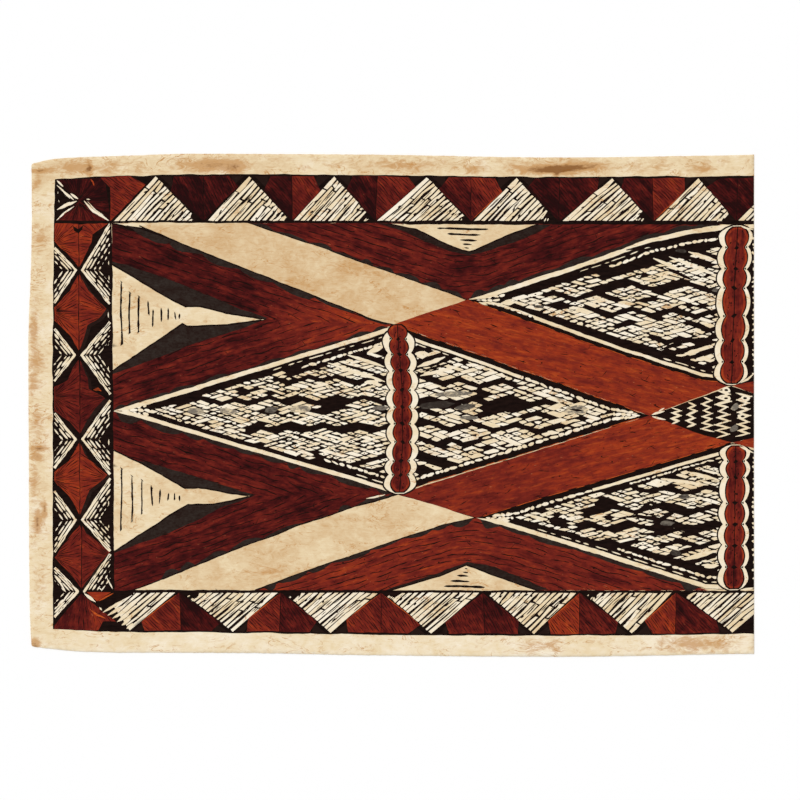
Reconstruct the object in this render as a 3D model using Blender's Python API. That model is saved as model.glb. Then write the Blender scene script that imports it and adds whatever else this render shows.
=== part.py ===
"""Painted bark cloth: one flat sheet of beaten inner bark, with a hand-trimmed uneven outline.

Metres, +Z up. The sheet lies painted face up on z = 0, its long side along X, centred on the origin.
"""

import math

import bmesh
import bpy

# Driving dimensions
SHEET_LENGTH = 0.936
SHEET_WIDTH = 0.649
SHEET_THICKNESS = 0.0012
CORNER_RADIUS = 0.003
POINT_SPACING = 0.008

# The bast fibres leave a fine ragged edge everywhere except along the straight cut end.
RAGGED_DEPTH = 0.0004
RAGGED_WAVELENGTHS = (0.047, 0.026, 0.017)

# How far the trimmed edge stands in from the full rectangle. Each row is
# (distance along the side from its left or lower end, distance in from the rectangle), in metres.
TOP_EDGE = (
    (0.004, 0.0130),
    (0.040, 0.0060),
    (0.138, 0.0022),
    (0.205, 0.0000),
    (0.433, 0.0010),
    (0.686, 0.0048),
    (0.867, 0.0026),
    (0.936, 0.0015),
)
BOTTOM_EDGE = (
    (0.004, 0.0134),
    (0.024, 0.0108),
    (0.067, 0.0068),
    (0.133, 0.0052),
    (0.260, 0.0050),
    (0.442, 0.0018),
    (0.678, 0.0000),
    (0.936, 0.0040),
)
LEFT_EDGE = (
    (0.0134, 0.0041),
    (0.064, 0.0018),
    (0.280, 0.0005),
    (0.402, 0.0000),
    (0.496, 0.0032),
    (0.557, 0.0046),
    (0.636, 0.0041),
)

BARK_COLOUR = (0.80, 0.67, 0.47, 1.0)
BARK_ROUGHNESS = 0.92


def slope_at(rows, index):
    """The slope of a smooth curve through the rows, flat at a row that is a low or a high point."""
    if index in (0, len(rows) - 1):
        near = 1 if index == 0 else index - 1
        return (rows[near][1] - rows[index][1]) / (rows[near][0] - rows[index][0])
    before, here, after = rows[index - 1 : index + 2]
    slope_in = (here[1] - before[1]) / (here[0] - before[0])
    slope_out = (after[1] - here[1]) / (after[0] - here[0])
    if slope_in * slope_out <= 0.0:
        return 0.0
    return 2.0 * slope_in * slope_out / (slope_in + slope_out)


def inset_at(rows, along):
    """The inset at a distance along the side, from a smooth curve through the rows."""
    last = len(rows) - 2
    index = max(i for i in range(last + 1) if i == 0 or rows[i][0] <= along)
    start, end = rows[index], rows[index + 1]
    span = end[0] - start[0]
    t = (along - start[0]) / span
    rise = end[1] - start[1]
    slope_start = slope_at(rows, index) * span
    slope_end = slope_at(rows, index + 1) * span
    cubic = slope_start + slope_end - 2.0 * rise
    square = 3.0 * rise - 2.0 * slope_start - slope_end
    return start[1] + t * (slope_start + t * (square + t * cubic))


def ragged(along, phase):
    """The fibres' small rise and fall, never outside the full rectangle."""
    waves = (math.sin(2.0 * math.pi * along / length + phase * length / 0.01) for length in RAGGED_WAVELENGTHS)
    return RAGGED_DEPTH * (0.5 + sum(waves) / (2.0 * len(RAGGED_WAVELENGTHS)))


def side_points(rows, to_xy, phase):
    """One side of the outline, from its first row to its last, as points in the sheet's plane."""
    first, last = rows[0][0], rows[-1][0]
    steps = round((last - first) / POINT_SPACING)
    points = []
    for step in range(steps + 1):
        along = first + (last - first) * step / steps
        # The corners stay crisp: the ragged edge fades out over the last few steps.
        fade = min(1.0, step / 3.0, (steps - step) / 3.0)
        points.append(to_xy(along, inset_at(rows, along) + fade * ragged(along, phase)))
    return points


def rounded(corner, before, after):
    """Three points in place of a corner, on a curve that leaves it by CORNER_RADIUS on each side."""
    def towards(point):
        dx, dy = point[0] - corner[0], point[1] - corner[1]
        share = CORNER_RADIUS / math.hypot(dx, dy)
        return corner[0] + share * dx, corner[1] + share * dy

    start, end = towards(before), towards(after)
    middle = tuple((start[i] + 2.0 * corner[i] + end[i]) / 4.0 for i in range(2))
    return [start, middle, end]


def sheet_outline():
    """The whole outline, counter-clockwise seen from above, starting at the lower left corner."""
    left, right = -SHEET_LENGTH / 2.0, SHEET_LENGTH / 2.0
    low, high = -SHEET_WIDTH / 2.0, SHEET_WIDTH / 2.0
    bottom = side_points(BOTTOM_EDGE, lambda along, inset: (left + along, low + inset), 0.3)
    top = side_points(TOP_EDGE, lambda along, inset: (left + along, high - inset), 1.7)
    side = side_points(LEFT_EDGE, lambda along, inset: (left + inset, low + along), 2.9)
    # The right-hand end is one straight cut, so its two corners are the ends of the long sides.
    bottom[-1] = (right, bottom[-1][1])
    top[-1] = (right, top[-1][1])
    lower_corner = rounded(bottom[0], side[1], bottom[1])
    upper_corner = rounded(top[0], top[1], side[-2])
    return lower_corner + bottom[1:] + top[:0:-1] + upper_corner + side[-2:0:-1]


def bark_material():
    material = bpy.data.materials.new("beaten_bark")
    material.use_nodes = True
    shader = material.node_tree.nodes["Principled BSDF"]
    shader.inputs["Base Color"].default_value = BARK_COLOUR
    shader.inputs["Roughness"].default_value = BARK_ROUGHNESS
    shader.inputs["Metallic"].default_value = 0.0
    return material


def bark_cloth_sheet():
    """The sheet as one closed solid: its outline filled, then raised by its thickness."""
    shape = bmesh.new()
    corners = [shape.verts.new((x, y, 0.0)) for x, y in sheet_outline()]
    underside = shape.faces.new(corners)
    raised = bmesh.ops.extrude_face_region(shape, geom=[underside])
    top = [item for item in raised["geom"] if isinstance(item, bmesh.types.BMVert)]
    bmesh.ops.translate(shape, verts=top, vec=(0.0, 0.0, SHEET_THICKNESS))
    bmesh.ops.recalc_face_normals(shape, faces=shape.faces)
    bmesh.ops.triangulate(shape, faces=[face for face in shape.faces if len(face.verts) > 4])
    mesh = bpy.data.meshes.new("bark_cloth_sheet")
    shape.to_mesh(mesh)
    shape.free()
    mesh.materials.append(bark_material())
    sheet = bpy.data.objects.new("bark_cloth_sheet", mesh)
    bpy.context.scene.collection.objects.link(sheet)
    return sheet


def main():
    for item in list(bpy.data.objects):
        bpy.data.objects.remove(item, do_unlink=True)
    bark_cloth_sheet()


main()
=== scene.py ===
"""Looks of the painted bark cloth: one sheet of beaten bark, with its painted design as pigment on it.

The design is worked out in millimetres from the middle of the sheet, +X to the right and +Y up. Its
points are complex numbers, x + y j, so a quarter turn to the left is a multiplication by 1j. Every mark
of the brush is an outline. All the outlines are cut into one flat net of triangles, and each triangle
takes the pigment that was painted there last.
"""

import cmath
import math
import random

import bpy
import numpy as np
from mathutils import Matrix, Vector, noise
from mathutils.geometry import delaunay_2d_cdt


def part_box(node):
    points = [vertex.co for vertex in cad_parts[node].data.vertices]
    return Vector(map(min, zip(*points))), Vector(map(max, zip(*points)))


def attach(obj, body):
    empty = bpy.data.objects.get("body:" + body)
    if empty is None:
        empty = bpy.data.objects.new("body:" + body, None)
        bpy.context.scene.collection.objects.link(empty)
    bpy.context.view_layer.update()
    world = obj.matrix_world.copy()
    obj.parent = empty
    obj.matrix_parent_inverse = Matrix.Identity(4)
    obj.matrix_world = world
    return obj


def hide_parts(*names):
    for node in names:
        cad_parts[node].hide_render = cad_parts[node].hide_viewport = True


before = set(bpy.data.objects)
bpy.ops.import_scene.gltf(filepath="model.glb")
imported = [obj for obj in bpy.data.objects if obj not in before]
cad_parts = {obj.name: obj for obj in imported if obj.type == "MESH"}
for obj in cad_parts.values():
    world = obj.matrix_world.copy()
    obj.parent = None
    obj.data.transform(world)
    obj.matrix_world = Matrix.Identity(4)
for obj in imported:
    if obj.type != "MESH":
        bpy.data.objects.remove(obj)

bl_info = {"name": "Painted bark cloth", "version": (1, 0, 0), "blender": (4, 5, 0),
    "location": "3D View > Sidebar > Bark cloth",
    "description": "Makes a sheet of beaten bark cloth painted with bands, lozenges and triangle borders",
    "category": "Add Mesh"}

SHEET_NODE = "bark_cloth_sheet"
MILLIMETRE = 0.001

# What a mark is painted with. The number is the material slot.
BARK, SOOT, WASH, DYE = range(4)


# Points and lines, in millimetres

def at(*places):
    """Places as points: pairs of numbers become complex numbers."""
    return [complex(*place) for place in places]


def length_of(line):
    return sum(abs(end - start) for start, end in zip(line, line[1:]))


def walked(line, step):
    """The same line, with a point at least every step."""
    points = [line[0]]
    for start, end in zip(line, line[1:]):
        parts = max(1, math.ceil(abs(end - start) / step))
        points += [start + (end - start) * part / parts for part in range(1, parts + 1)]
    return points


def point_on(line, share):
    """The point at a share of the line's length."""
    left = share * length_of(line)
    for start, end in zip(line, line[1:]):
        run = abs(end - start)
        if left <= run:
            return start + (end - start) * left / max(run, 1e-9)
        left -= run
    return line[-1]


def part_of(line, first, last):
    """The part of the line between two shares of its length."""
    total, reached = length_of(line), 0
    points = [point_on(line, first)]
    for start, end in zip(line, line[1:]):
        reached += abs(end - start)
        if first * total + 0.01 < reached < last * total - 0.01:
            points.append(end)
    return points + [point_on(line, last)]


def across(line):
    """At each point of the line, the direction to its left."""
    ends = [line[0]] + line + [line[-1]]
    return [1j * (after - before) / max(abs(after - before), 1e-9) for before, after in zip(ends, ends[2:])]


def area_of(outline):
    """The area inside an outline, below zero where it runs clockwise."""
    pairs = zip(outline, outline[1:] + outline[:1])
    return sum((start.conjugate() * end).imag for start, end in pairs) / 2


def level(rows, x):
    """The height at x of a line given as rows of (x, height)."""
    for start, end in zip(rows, rows[1:]):
        if x <= end[0]:
            share = max(0, (x - start[0]) / (end[0] - start[0]))
            return start[1] + (end[1] - start[1]) * share
    return rows[-1][1]


def shake(point, size, layer=0):
    """A smooth chance value from -1 to 1 for a place, which changes over about the given size."""
    return noise.noise(Vector((point.real / size, point.imag / size, layer)))


def roughened(line, depth, size, layer):
    """The line with an uneven edge, as a loaded brush leaves on felted bark."""
    return [point + depth * complex(shake(point, size, layer), shake(point, size, layer + 31.7))
        for point in line]


def brushed(corners, depth, size, layer, step=4):
    """The closed outline through the corners, with an uneven edge."""
    return roughened(walked(corners + corners[:1], step)[:-1], depth, size, layer)


def straight(angle):
    """How brush marks run in a dyed patch that is brushed one way. The first function turns a place into
    how far it is along and across the marks, and the second one turns it back."""
    turn = cmath.exp(-1j * math.radians(angle))
    return lambda points: points * turn, lambda places: places / turn


def fanned(centre, towards):
    """Marks that spread from a point."""
    way = (towards - centre).conjugate() / abs(towards - centre)
    # An angle of one radian counts as this many millimetres across the marks.
    width = 30

    def forward(points):
        away = (points - centre) * way
        return np.abs(away) + 1j * np.angle(away) * width

    return forward, lambda place: centre + cmath.rect(place.real, place.imag / width) / way


def bent(middle, slope, softness=30):
    """Marks that follow a band round its bend, at the place middle along the sheet."""
    def drop(points):
        return 1j * slope * np.sqrt((points.real - middle) ** 2 + softness ** 2)
    return lambda points: points - drop(points), lambda places: complex(places + drop(places))


class Painting:
    """Every mark on the sheet, in the order it is painted. A later mark covers an earlier one."""

    def __init__(self, sizes, seed):
        self.sizes = sizes
        self.dice = random.Random(seed)
        self.outlines = []
        self.marks = []

    def fill(self, outline, pigment, tone=0.3, grain=None):
        """A painted patch. tone is a number or a function of the place."""
        area, smallest_area = area_of(outline), 0.15
        if abs(area) < smallest_area:
            return
        self.outlines.append(outline if area > 0 else outline[::-1])
        self.marks.append((pigment, tone, grain))

    def patch(self, corners, pigment, rough=0.5, size=9, **look):
        """A patch with straight sides and a hand-brushed edge."""
        self.fill(brushed(corners, rough, size, len(self.marks)), pigment, **look)

    def dyed(self, corners, tone, grain, pitch, lined=None, rough=0.4, runs=(1.2, 6), gaps=(0.1, 1.5)):
        """A dyed patch, with thin dark lines side by side where the dye's film cracked along the marks.
        runs and gaps are how long the lines and the spaces between them are, in pitches."""
        self.patch(corners, DYE, rough=rough, tone=tone, grain=grain)
        forward, back = grain
        dice, layer, shortest = self.dice, len(self.marks), 4
        outline = lined or corners
        outline = [complex(forward(point)) for point in walked(outline + outline[:1], 5)]
        height = min(point.imag for point in outline) + pitch * dice.uniform(0.3, 0.7)
        while height < max(point.imag for point in outline):
            crossed = [(start, end - start) for start, end in zip(outline, outline[1:])
                if (start.imag > height) != (end.imag > height)]
            places = sorted(start.real + run.real * (height - start.imag) / run.imag
                for start, run in crossed)
            for first, last in zip(places[::2], places[1::2]):
                reached = first + 0.5 + pitch * dice.uniform(0, gaps[0])
                while reached < last - shortest:
                    end = min(last - 0.8, reached + pitch * dice.uniform(*runs) + shortest)
                    lean = min(pitch, 4) * dice.uniform(-0.3, 0.3)
                    line = []
                    for point in walked([complex(reached, height - lean), complex(end, height + lean)], 8):
                        line.append(complex(back(point + 1j * pitch * 0.4 * shake(point, 22, layer))))
                    self.stroke(line, dice.uniform(0.7, 1.25) * (1 if pitch > 6 else 0.8), SOOT, taper=4,
                        uneven=0.7)
                    if pitch > 6:
                        self.crack_ends(line[len(line) // 2])
                    reached = end + pitch * dice.uniform(*gaps)
            height += pitch * dice.uniform(0.75, 1.25)

    def crack_ends(self, place):
        """Here and there a short crack that leaves a longer one, and a dot where the dye pooled."""
        dice = self.dice
        if dice.random() < 0.35:
            way = cmath.rect(dice.uniform(4, 10), math.radians(dice.uniform(-65, 65)))
            self.stroke([place, place + way], dice.uniform(0.7, 1), SOOT, taper=4)
        if dice.random() < 0.3:
            away = cmath.rect(dice.uniform(2, 6), dice.uniform(0, math.tau))
            self.spot(place + away, dice.uniform(1.4, 3), dice.uniform(1.2, 2), SOOT, points=6)

    def stroke(self, line, width, pigment=SOOT, taper=0, uneven=0.3, swell=None, **look):
        """A brush line that swells and thins. taper is how long its ends take to reach the full width."""
        line = walked(line, 3.5)
        layer, total, reached = len(self.marks), length_of(line), 0
        left, right = [], []
        for index, (point, side) in enumerate(zip(line, across(line))):
            reached += abs(point - line[index - 1]) if index else 0
            end = min(reached, total - reached)
            full = 1 if taper == 0 else min(1, 0.2 + 0.8 * end / taper)
            if swell:
                full *= swell(point)
            if 0 < index < len(line) - 1:
                # At a bend, the line is as wide as along its straight parts.
                turn = cmath.phase((line[index + 1] - point) / (point - line[index - 1]))
                full /= max(0.6, math.cos(turn / 2))
            half = 0.5 * width * full * (1 + uneven * shake(point, 7, layer))
            left.append(point + side * half)
            right.append(point - side * half)
        self.fill(left + right[::-1], pigment, **look)

    def dashes(self, line, width, dash, gap, pigment=BARK, **look):
        """A line of dashes of uneven length."""
        total, reached = length_of(line), self.dice.uniform(0, gap)
        while reached < total:
            run = dash * self.dice.uniform(0.4, 1.6)
            end = min(1, (reached + run) / total)
            if end * total - reached > 1:
                wide = width * self.dice.uniform(0.75, 1.2)
                self.stroke(part_of(line, reached / total, end), wide, pigment, taper=2, **look)
            reached += run + gap * self.dice.uniform(0.4, 1.6)

    def bricks(self, line, width, run, swell):
        """A string of small rounded bricks along a line, with a longer gap here and there."""
        dice, total, reached = self.dice, length_of(line), 0
        while reached < total - 3:
            size = run * dice.uniform(0.5, 1.4)
            start_point = point_on(line, reached / total)
            ahead = point_on(line, min(1, (reached + size) / total)) - start_point
            middle = start_point + ahead / 2
            if abs(ahead) > 2:
                self.spot(middle, abs(ahead) * 1.12, width * swell(middle) * dice.uniform(0.75, 1.35), BARK,
                    turn=math.degrees(cmath.phase(ahead)) + dice.uniform(-16, 16), points=7,
                    tone=dice.uniform(0, 0.45))
            reached += size + dice.choice((0, 0.3, 0.8, 2.4))

    def spot(self, middle, along, wide, pigment, turn=0, points=9, **look):
        """A small rounded touch of the brush."""
        turned = cmath.exp(1j * math.radians(turn))
        outline = []
        for index in range(points):
            angle = math.tau * index / points
            place = complex(math.cos(angle) * along / 2, math.sin(angle) * wide / 2)
            outline.append(middle + place * turned * self.dice.uniform(0.85, 1.15))
        self.fill(outline, pigment, **look)


# Where the design's parts lie, in millimetres from the middle of the sheet

CUT = 474
FRAME_TOP = ((-433.5, 290.5), (-393, 294.4), (-300, 297), (-153, 298.3), (12, 296.2), (214, 294.3),
    (399, 295.2), (CUT, 296.2))
FRAME_BOTTOM = ((-436, -288), (-369, -292), (-139, -294.2), (110, -297.3), (347, -296.4), (CUT, -294.8))
FRAME_LEFT = ((-436, -288), (-436.3, 65), (-435.2, 173), (-433.5, 290.5))
FIELD_LEFT, FIELD_TOP, FIELD_BOTTOM = -359.5, 235, -238.8

TOP_NODE, LOW_NODE = 4 + 103.5j, 9 - 114.6j
LEFT_TIP, RIGHT_TIP = -359.3 - 7j, 333 - 13j
TOP_CROSSING, LOW_CROSSING = 98.5 + 136j, 110 - 145j
TOP_RIGHT_NODE, LOW_RIGHT_NODE = 439 + 26j, 440 - 49j


def frame_and_field(art):
    """The black frame, and the bare field inside it."""
    outer = at(*FRAME_TOP) + at(*reversed(FRAME_BOTTOM)) + at(*FRAME_LEFT)[1:-1]
    art.fill(brushed(outer, 1, 16, 2, 5), SOOT)
    field = at((FIELD_LEFT - 1, FIELD_TOP + 1), (12, FIELD_TOP + 1), (24, FIELD_TOP - 1.8),
        (CUT, FIELD_TOP - 1.8), (CUT, FIELD_BOTTOM - 0.8), (FIELD_LEFT + 1.5, FIELD_BOTTOM + 0.8))
    art.patch(field, BARK, rough=0.4, tone=0.62)


def brush(art, line, width, pigment, **look):
    """One touch of the brush, thin at both ends."""
    art.stroke(line, width, pigment, taper=0.3 * length_of(line), **look)


def touches(art, pigment, rows, **look):
    """Single touches of the brush, each a width and then the places it goes through."""
    for width, *places in rows:
        brush(art, at(*zip(places[::2], places[1::2])), width, pigment, **look)


def hatched(art, start, end, far, bare):
    """A triangle of bare stripes beside its side from start to end. bare is how deep the corner at far is
    left black."""
    sizes, dice, shortest, longest = art.sizes, art.dice, 16, 90
    pitch, gap = sizes.hatch_pitch / MILLIMETRE, sizes.hatch_line / MILLIMETRE
    side = (end - start) / abs(end - start)
    depth = abs(((far - start) / side).imag)
    stripes = round((depth - bare) / pitch)
    pitch = (depth - bare) / stripes

    def place(share, out):
        low, high = start + (far - start) * out, end + (far - end) * out
        return low + (high - low) * share

    for index in range(stripes):
        near = (index * pitch + (0 if index == 0 else gap / 2)) / depth
        away = ((index + 1) * pitch - gap / 2) / depth
        near_lean, away_lean = (dice.uniform(-0.9, 0.9) / depth for _ in range(2))
        run = abs(end - start) * (1 - near)
        cuts = [0]
        while cuts[-1] < 1:
            cuts.append(cuts[-1] + dice.uniform(shortest, longest) / run)
        cuts[-1] = 1
        if len(cuts) > 2 and 1 - cuts[-2] < 0.15:
            del cuts[-2]
        for first, last in zip(cuts, cuts[1:]):
            shift = dice.uniform(-0.6, 0.6) / depth
            space = dice.uniform(0.6, 1.6) / run
            first += space if first > 0 else 0
            last -= space if last < 1 else 0
            middle = (first + last) / 2
            # The first stripe's near side is straight, because it is the triangle's own side.
            near_tilt, near_shift = (near_lean, shift) if index else (0, 0)
            outline = [place(first, near + near_tilt), place(first, away + away_lean),
                place(middle, away + away_lean + shift), place(last, away - away_lean),
                place(last, near - near_tilt), place(middle, near + near_shift)]
            art.fill(roughened(outline, 1, 4.5, index), BARK, tone=dice.uniform(0.05, 0.5))
        for _ in range(dice.choice((0, 1, 1, 2)) if run > 15 else 0):
            share = dice.uniform(0.1, 0.6)
            out = (near + away) / 2 + dice.uniform(-0.2, 0.2) * pitch / depth
            art.stroke([place(share, out), place(share + dice.uniform(0.15, 0.35), out)],
                dice.uniform(0.7, 1.3), taper=4)
        if run > 14 and dice.random() < 0.6:
            art.spot(place(dice.uniform(0.1, 0.9), away), dice.uniform(3, 8), dice.uniform(1.6, 3.2), SOOT,
                turn=math.degrees(cmath.phase(side)) + dice.uniform(-25, 25), points=7)


# Of each hatched triangle: left corner, tip, right corner, depth of the corner left black, and how dark
# the left and right halves of the dyed triangle after it are (0 darkest, 1 bright orange)
TOP_HATCHED = ((-357, -304, -248, 11, 0.08, 0.14), (-236, -183, -130.5, 5, 0.12, 0.4),
    (-125, -73, -22, 14, 0.15, 0.4), (-17.5, 46.2, 99.5, 8, 0.25, 0.42), (107, 161.5, 212.5, 14, 0.1, 0.16),
    (221.5, 284.4, 335.5, 15, 0.16, 0.46), (341.5, 396.7, 442.5, 10, 0.12, 0.16),
    (447.5, 505, 560, 8, 0.2, 0.2))
BOTTOM_HATCHED = ((-370, -336.5, -278.5, 0, 0.5, 0.16), (-267, -204, -146, 13, 0.45, 0.25),
    (-137, -78, -17, 13, 0.47, 0.42), (-8, 51.6, 114, 13, 0.35, 0.2), (124, 184.5, 238.5, 3, 0.64, 0.3),
    (249, 309.6, 362, 13, 0.58, 0.26), (373, 440, 500, 9, 0.3, 0.3))


def dyed_triangle(art, tip, left_tip, right_tip, tones):
    """A dyed triangle between two hatched ones. Its outer corners are cut off by black."""
    dice, halves = art.dice, []
    seam = complex(tip.real + dice.uniform(-3, 3), left_tip.imag)
    for outer in (left_tip, right_tip):
        corner = dice.uniform(16, 30) * (1 if outer is left_tip else -1)
        drop = dice.uniform(0.2, 0.34)
        halves.append([tip, seam, outer + corner, outer + (tip - outer) * drop])
        art.fill([outer + corner * 0.25, outer + corner * 0.86,
            outer + (tip - outer) * drop * 0.9 + corner * 0.3], WASH, tone=0.25)
    for half, tone in zip(halves, tones):
        lean = dice.uniform(-8, 10)

        def shade(points, tone=tone):
            """The dye pools, so it is darker towards the tip."""
            return tone - 0.16 * np.clip(1 - np.abs(points - tip) / 60, 0, 1)

        art.dyed(half, shade, straight(-54 + lean), 3.2)
        if tone > 0.4:
            brush(art, [half[0] * 0.9 + half[3] * 0.1, half[3]], 1.1, DYE, tone=0.95)
    art.stroke([tip, seam], 0.9, uneven=0.6)


def border_row(art, inner, outer, rows, upward):
    """One long border: dyed triangles first, then the hatched triangles on their thin black outlines."""
    inset = 2.2 if upward else -2.2
    tips = [complex(row[1], level(outer, row[1]) - inset) for row in rows]
    for index, (row, after) in enumerate(zip(rows, rows[1:])):
        tip = complex((row[2] + after[0]) / 2, inner + inset * 0.6)
        dyed_triangle(art, tip, tips[index], tips[index + 1], row[4:])
    for (left, _, right, bare, _, _), tip in zip(rows, tips):
        left_corner, right_corner = complex(left, inner + inset * 0.8), complex(right, inner + inset * 0.8)
        start, end, far = (left_corner, tip, right_corner) if upward else (tip, right_corner, left_corner)
        middle = (left_corner + right_corner + tip) / 3
        art.patch([corner + (corner - middle) * 0.03 for corner in (left_corner, right_corner, tip)], SOOT)
        hatched(art, start, end, far, bare)
        for _ in range(round(bare / 3)):
            spread = art.dice.uniform(0.06, 0.24)
            base = far + (start + (end - start) * art.dice.uniform(0, 0.25) - far) * spread
            art.spot(base, art.dice.uniform(2, 6), 1.4, BARK, turn=art.dice.uniform(20, 60), points=6)


# The left border's nodes, each with the ends of its chevrons' arms: left up and down, right up and down
NODES = ((-402.5 + 174j, 202.8, 131.8, 233.7, 130.5), (-403.8 + 64.8j, 98.3, 31.2, 107.3, 14.4),
    (-403 - 44.2j, -10.1, -81, 6.7, -88.8), (-403 - 147.8j, -110.7, -189.4, -93.9, -188.1),
    (-399.9 - 240.3j, -210, -273.2, -192, None))
# The dyed diamonds between the nodes: dye tone, then the corners from the top
DIAMONDS = ((0.56, at((-433.5, 233.7), (-365.1, 234.4), (-376, 226), (-385, 219.8), (-386, 211),
    (-391, 199), (-402.5, 177.6), (-417, 195), (-433.5, 211))),
    (0.52, at((-401.8, 169.2), (-390, 147), (-378, 135), (-366.4, 124.1), (-375.4, 112.5), (-391, 103),
    (-395, 90), (-402.5, 69.9), (-415, 91), (-434.1, 108.6), (-434.1, 125.4), (-414.1, 147.3))),
    (0.3, at((-403.1, 58.3), (-391.5, 34), (-389.5, 20.5), (-368.9, 9.3), (-380, -3), (-391, -18),
    (-401.2, -37.2), (-414, -21), (-434.1, -7.5), (-434.1, 23.5), (-417, 32.5), (-410.2, 48))),
    (0.56, at((-402.5, -48.1), (-394.7, -65.5), (-379.3, -79), (-365.1, -89.4), (-375.4, -99.1),
    (-389, -110), (-401.2, -141.6), (-414, -119), (-434.1, -96.5), (-434.1, -86.2), (-415, -72))),
    (0.4, at((-401.2, -154.5), (-393.4, -166), (-378, -176), (-362.5, -189.4), (-375, -203), (-386, -219),
    (-399, -236.4), (-414.1, -217.8), (-434.1, -196.5), (-420, -177))))


def chevrons(art, tip, high, low, edge, lines):
    """Nested arrowheads that point at a node: the outermost one solid, the others thin and broken."""
    reach = edge - tip.real
    away = reach / abs(reach)
    for order, inset in enumerate(lines):
        share = 1 - inset / abs(reach)
        point = tip + away * inset
        for end in (high, low):
            if end is None:
                continue
            far = complex(edge, point.imag + (end - tip.imag) * share)
            if order == 0:
                art.stroke([point, point + (far - point) * 0.55, far], 3.1, BARK, uneven=0.55, tone=0.25)
                art.spot(point, 3.4, 3.2, BARK, tone=0.25, points=7)
                start = point + (far - point) * art.dice.uniform(0.1, 0.5)
                art.dashes([start, far], 0.9, dash=8, gap=5, pigment=SOOT)
            else:
                width, dash = ((2.2, 20), (1.9, 12), (1.9, 7), (1.8, 6))[order - 1]
                art.dashes([point, far], width, dash, gap=2.4, tone=0.25)


def diamond_column(art):
    """The left border: dyed diamonds between black nodes, with nested chevrons on both sides."""
    top = FIELD_TOP + 1
    art.stroke(at((-434, top + 1), (-360, top + 1)), 2)
    for index, (tone, corners) in enumerate(DIAMONDS):
        low = min(corners, key=lambda point: point.imag)
        if index:
            art.fill([corner + 4 - 2.5j for corner in corners], WASH, tone=0.3)
        seam = complex(low.real, top if index == 0 else corners[0].imag)
        middle = complex(low.real, (seam.imag + low.imag) / 2)
        # min keeps the part of the diamond to the left of its seam, and max the part to the right.
        for half, x, shade in ((min, -437, tone + 0.04), (max, -362, tone - 0.01)):
            clipped = [complex(half(point.real, low.real), point.imag) for point in corners]
            outline = brushed(clipped, 0.8, 9, index * 3)
            outline = [complex(half(point.real, low.real), point.imag) for point in outline]
            outline = [point for order, point in enumerate(outline)
                if abs(point - outline[order - 1]) > 0.3]
            art.dyed(outline, shade, fanned(complex(x, middle.imag), middle), 3.8, rough=0)
        art.stroke([seam, low], 1, uneven=0.8)
    art.fill(at((-410.2, 231.5), (-403, 227.5), (-397, 232.5), (-398, 227), (-402.5, 222), (-408, 225)),
        SOOT)
    for node, left_high, left_low, right_high, right_low in NODES:
        chevrons(art, node - 4, left_high, left_low, -434, (0, 4.6, 9.2, 16))
        chevrons(art, node + 4.8, right_high, right_low, -362, (0, 4.6, 9.2, 15, 21))
    art.dashes(at((-364, 200), (-364, -200)), 1.4, dash=5, gap=26, tone=0.3)
    brush(art, at((-384, 19.5), (-378, 21), (-373.5, 18)), 3, DYE, tone=0.9)


def top_corner(art):
    """The upper left corner square: dark dye, with chevrons that point right."""
    node = -402 + 263j
    corners = at((-431.5, 290), (-369.5, 293.5), (-361.5, 238), (-431.5, 238))
    for first, second, tone in ((0, 1, 0.06), (1, 2, 0.03), (2, 3, 0.22)):
        art.dyed([node, corners[first], corners[second]], tone,
            fanned(node, (corners[first] + corners[second]) / 2), 3.6, rough=0.3)
    art.dyed(at((-374.5, 293.4), (-335.4, 295.7), (-316.6, 284.7), (-361.5, 237.6), (-362.5, 280.2)), 0.46,
        straight(-32), 3.2)
    touches(art, BARK, ((2.6, -430.9, 289.2, -422.7, 281.5), (2.2, -430.9, 283.3, -424, 277, -414.1, 266),
        (2.6, -425.7, 277.6, -417, 271, -408.9, 264.1), (3.4, -413.3, 272.4, -403.4, 266),
        (3.4, -430.4, 252, -419, 257, -405.4, 262.8), (2, -424, 256.6, -414, 261.4),
        (2.2, -431.2, 237.6, -421, 247.6, -408.9, 256.1), (2.2, -429.6, 275, -429.6, 272.6),
        (2.4, -428.6, 264.4, -428, 261.6), (3.4, -395.5, 263.9, -384, 250.5, -372.8, 244.1, -363.1, 237.6),
        (1.3, -391, 263, -381, 251.6, -371, 245.6), (2, -392.2, 266, -387.6, 266)), tone=0.2)
    brush(art, at((-387, 291.8), (-384, 288), (-382.5, 283.4)), 2, DYE, tone=0.85)


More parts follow.
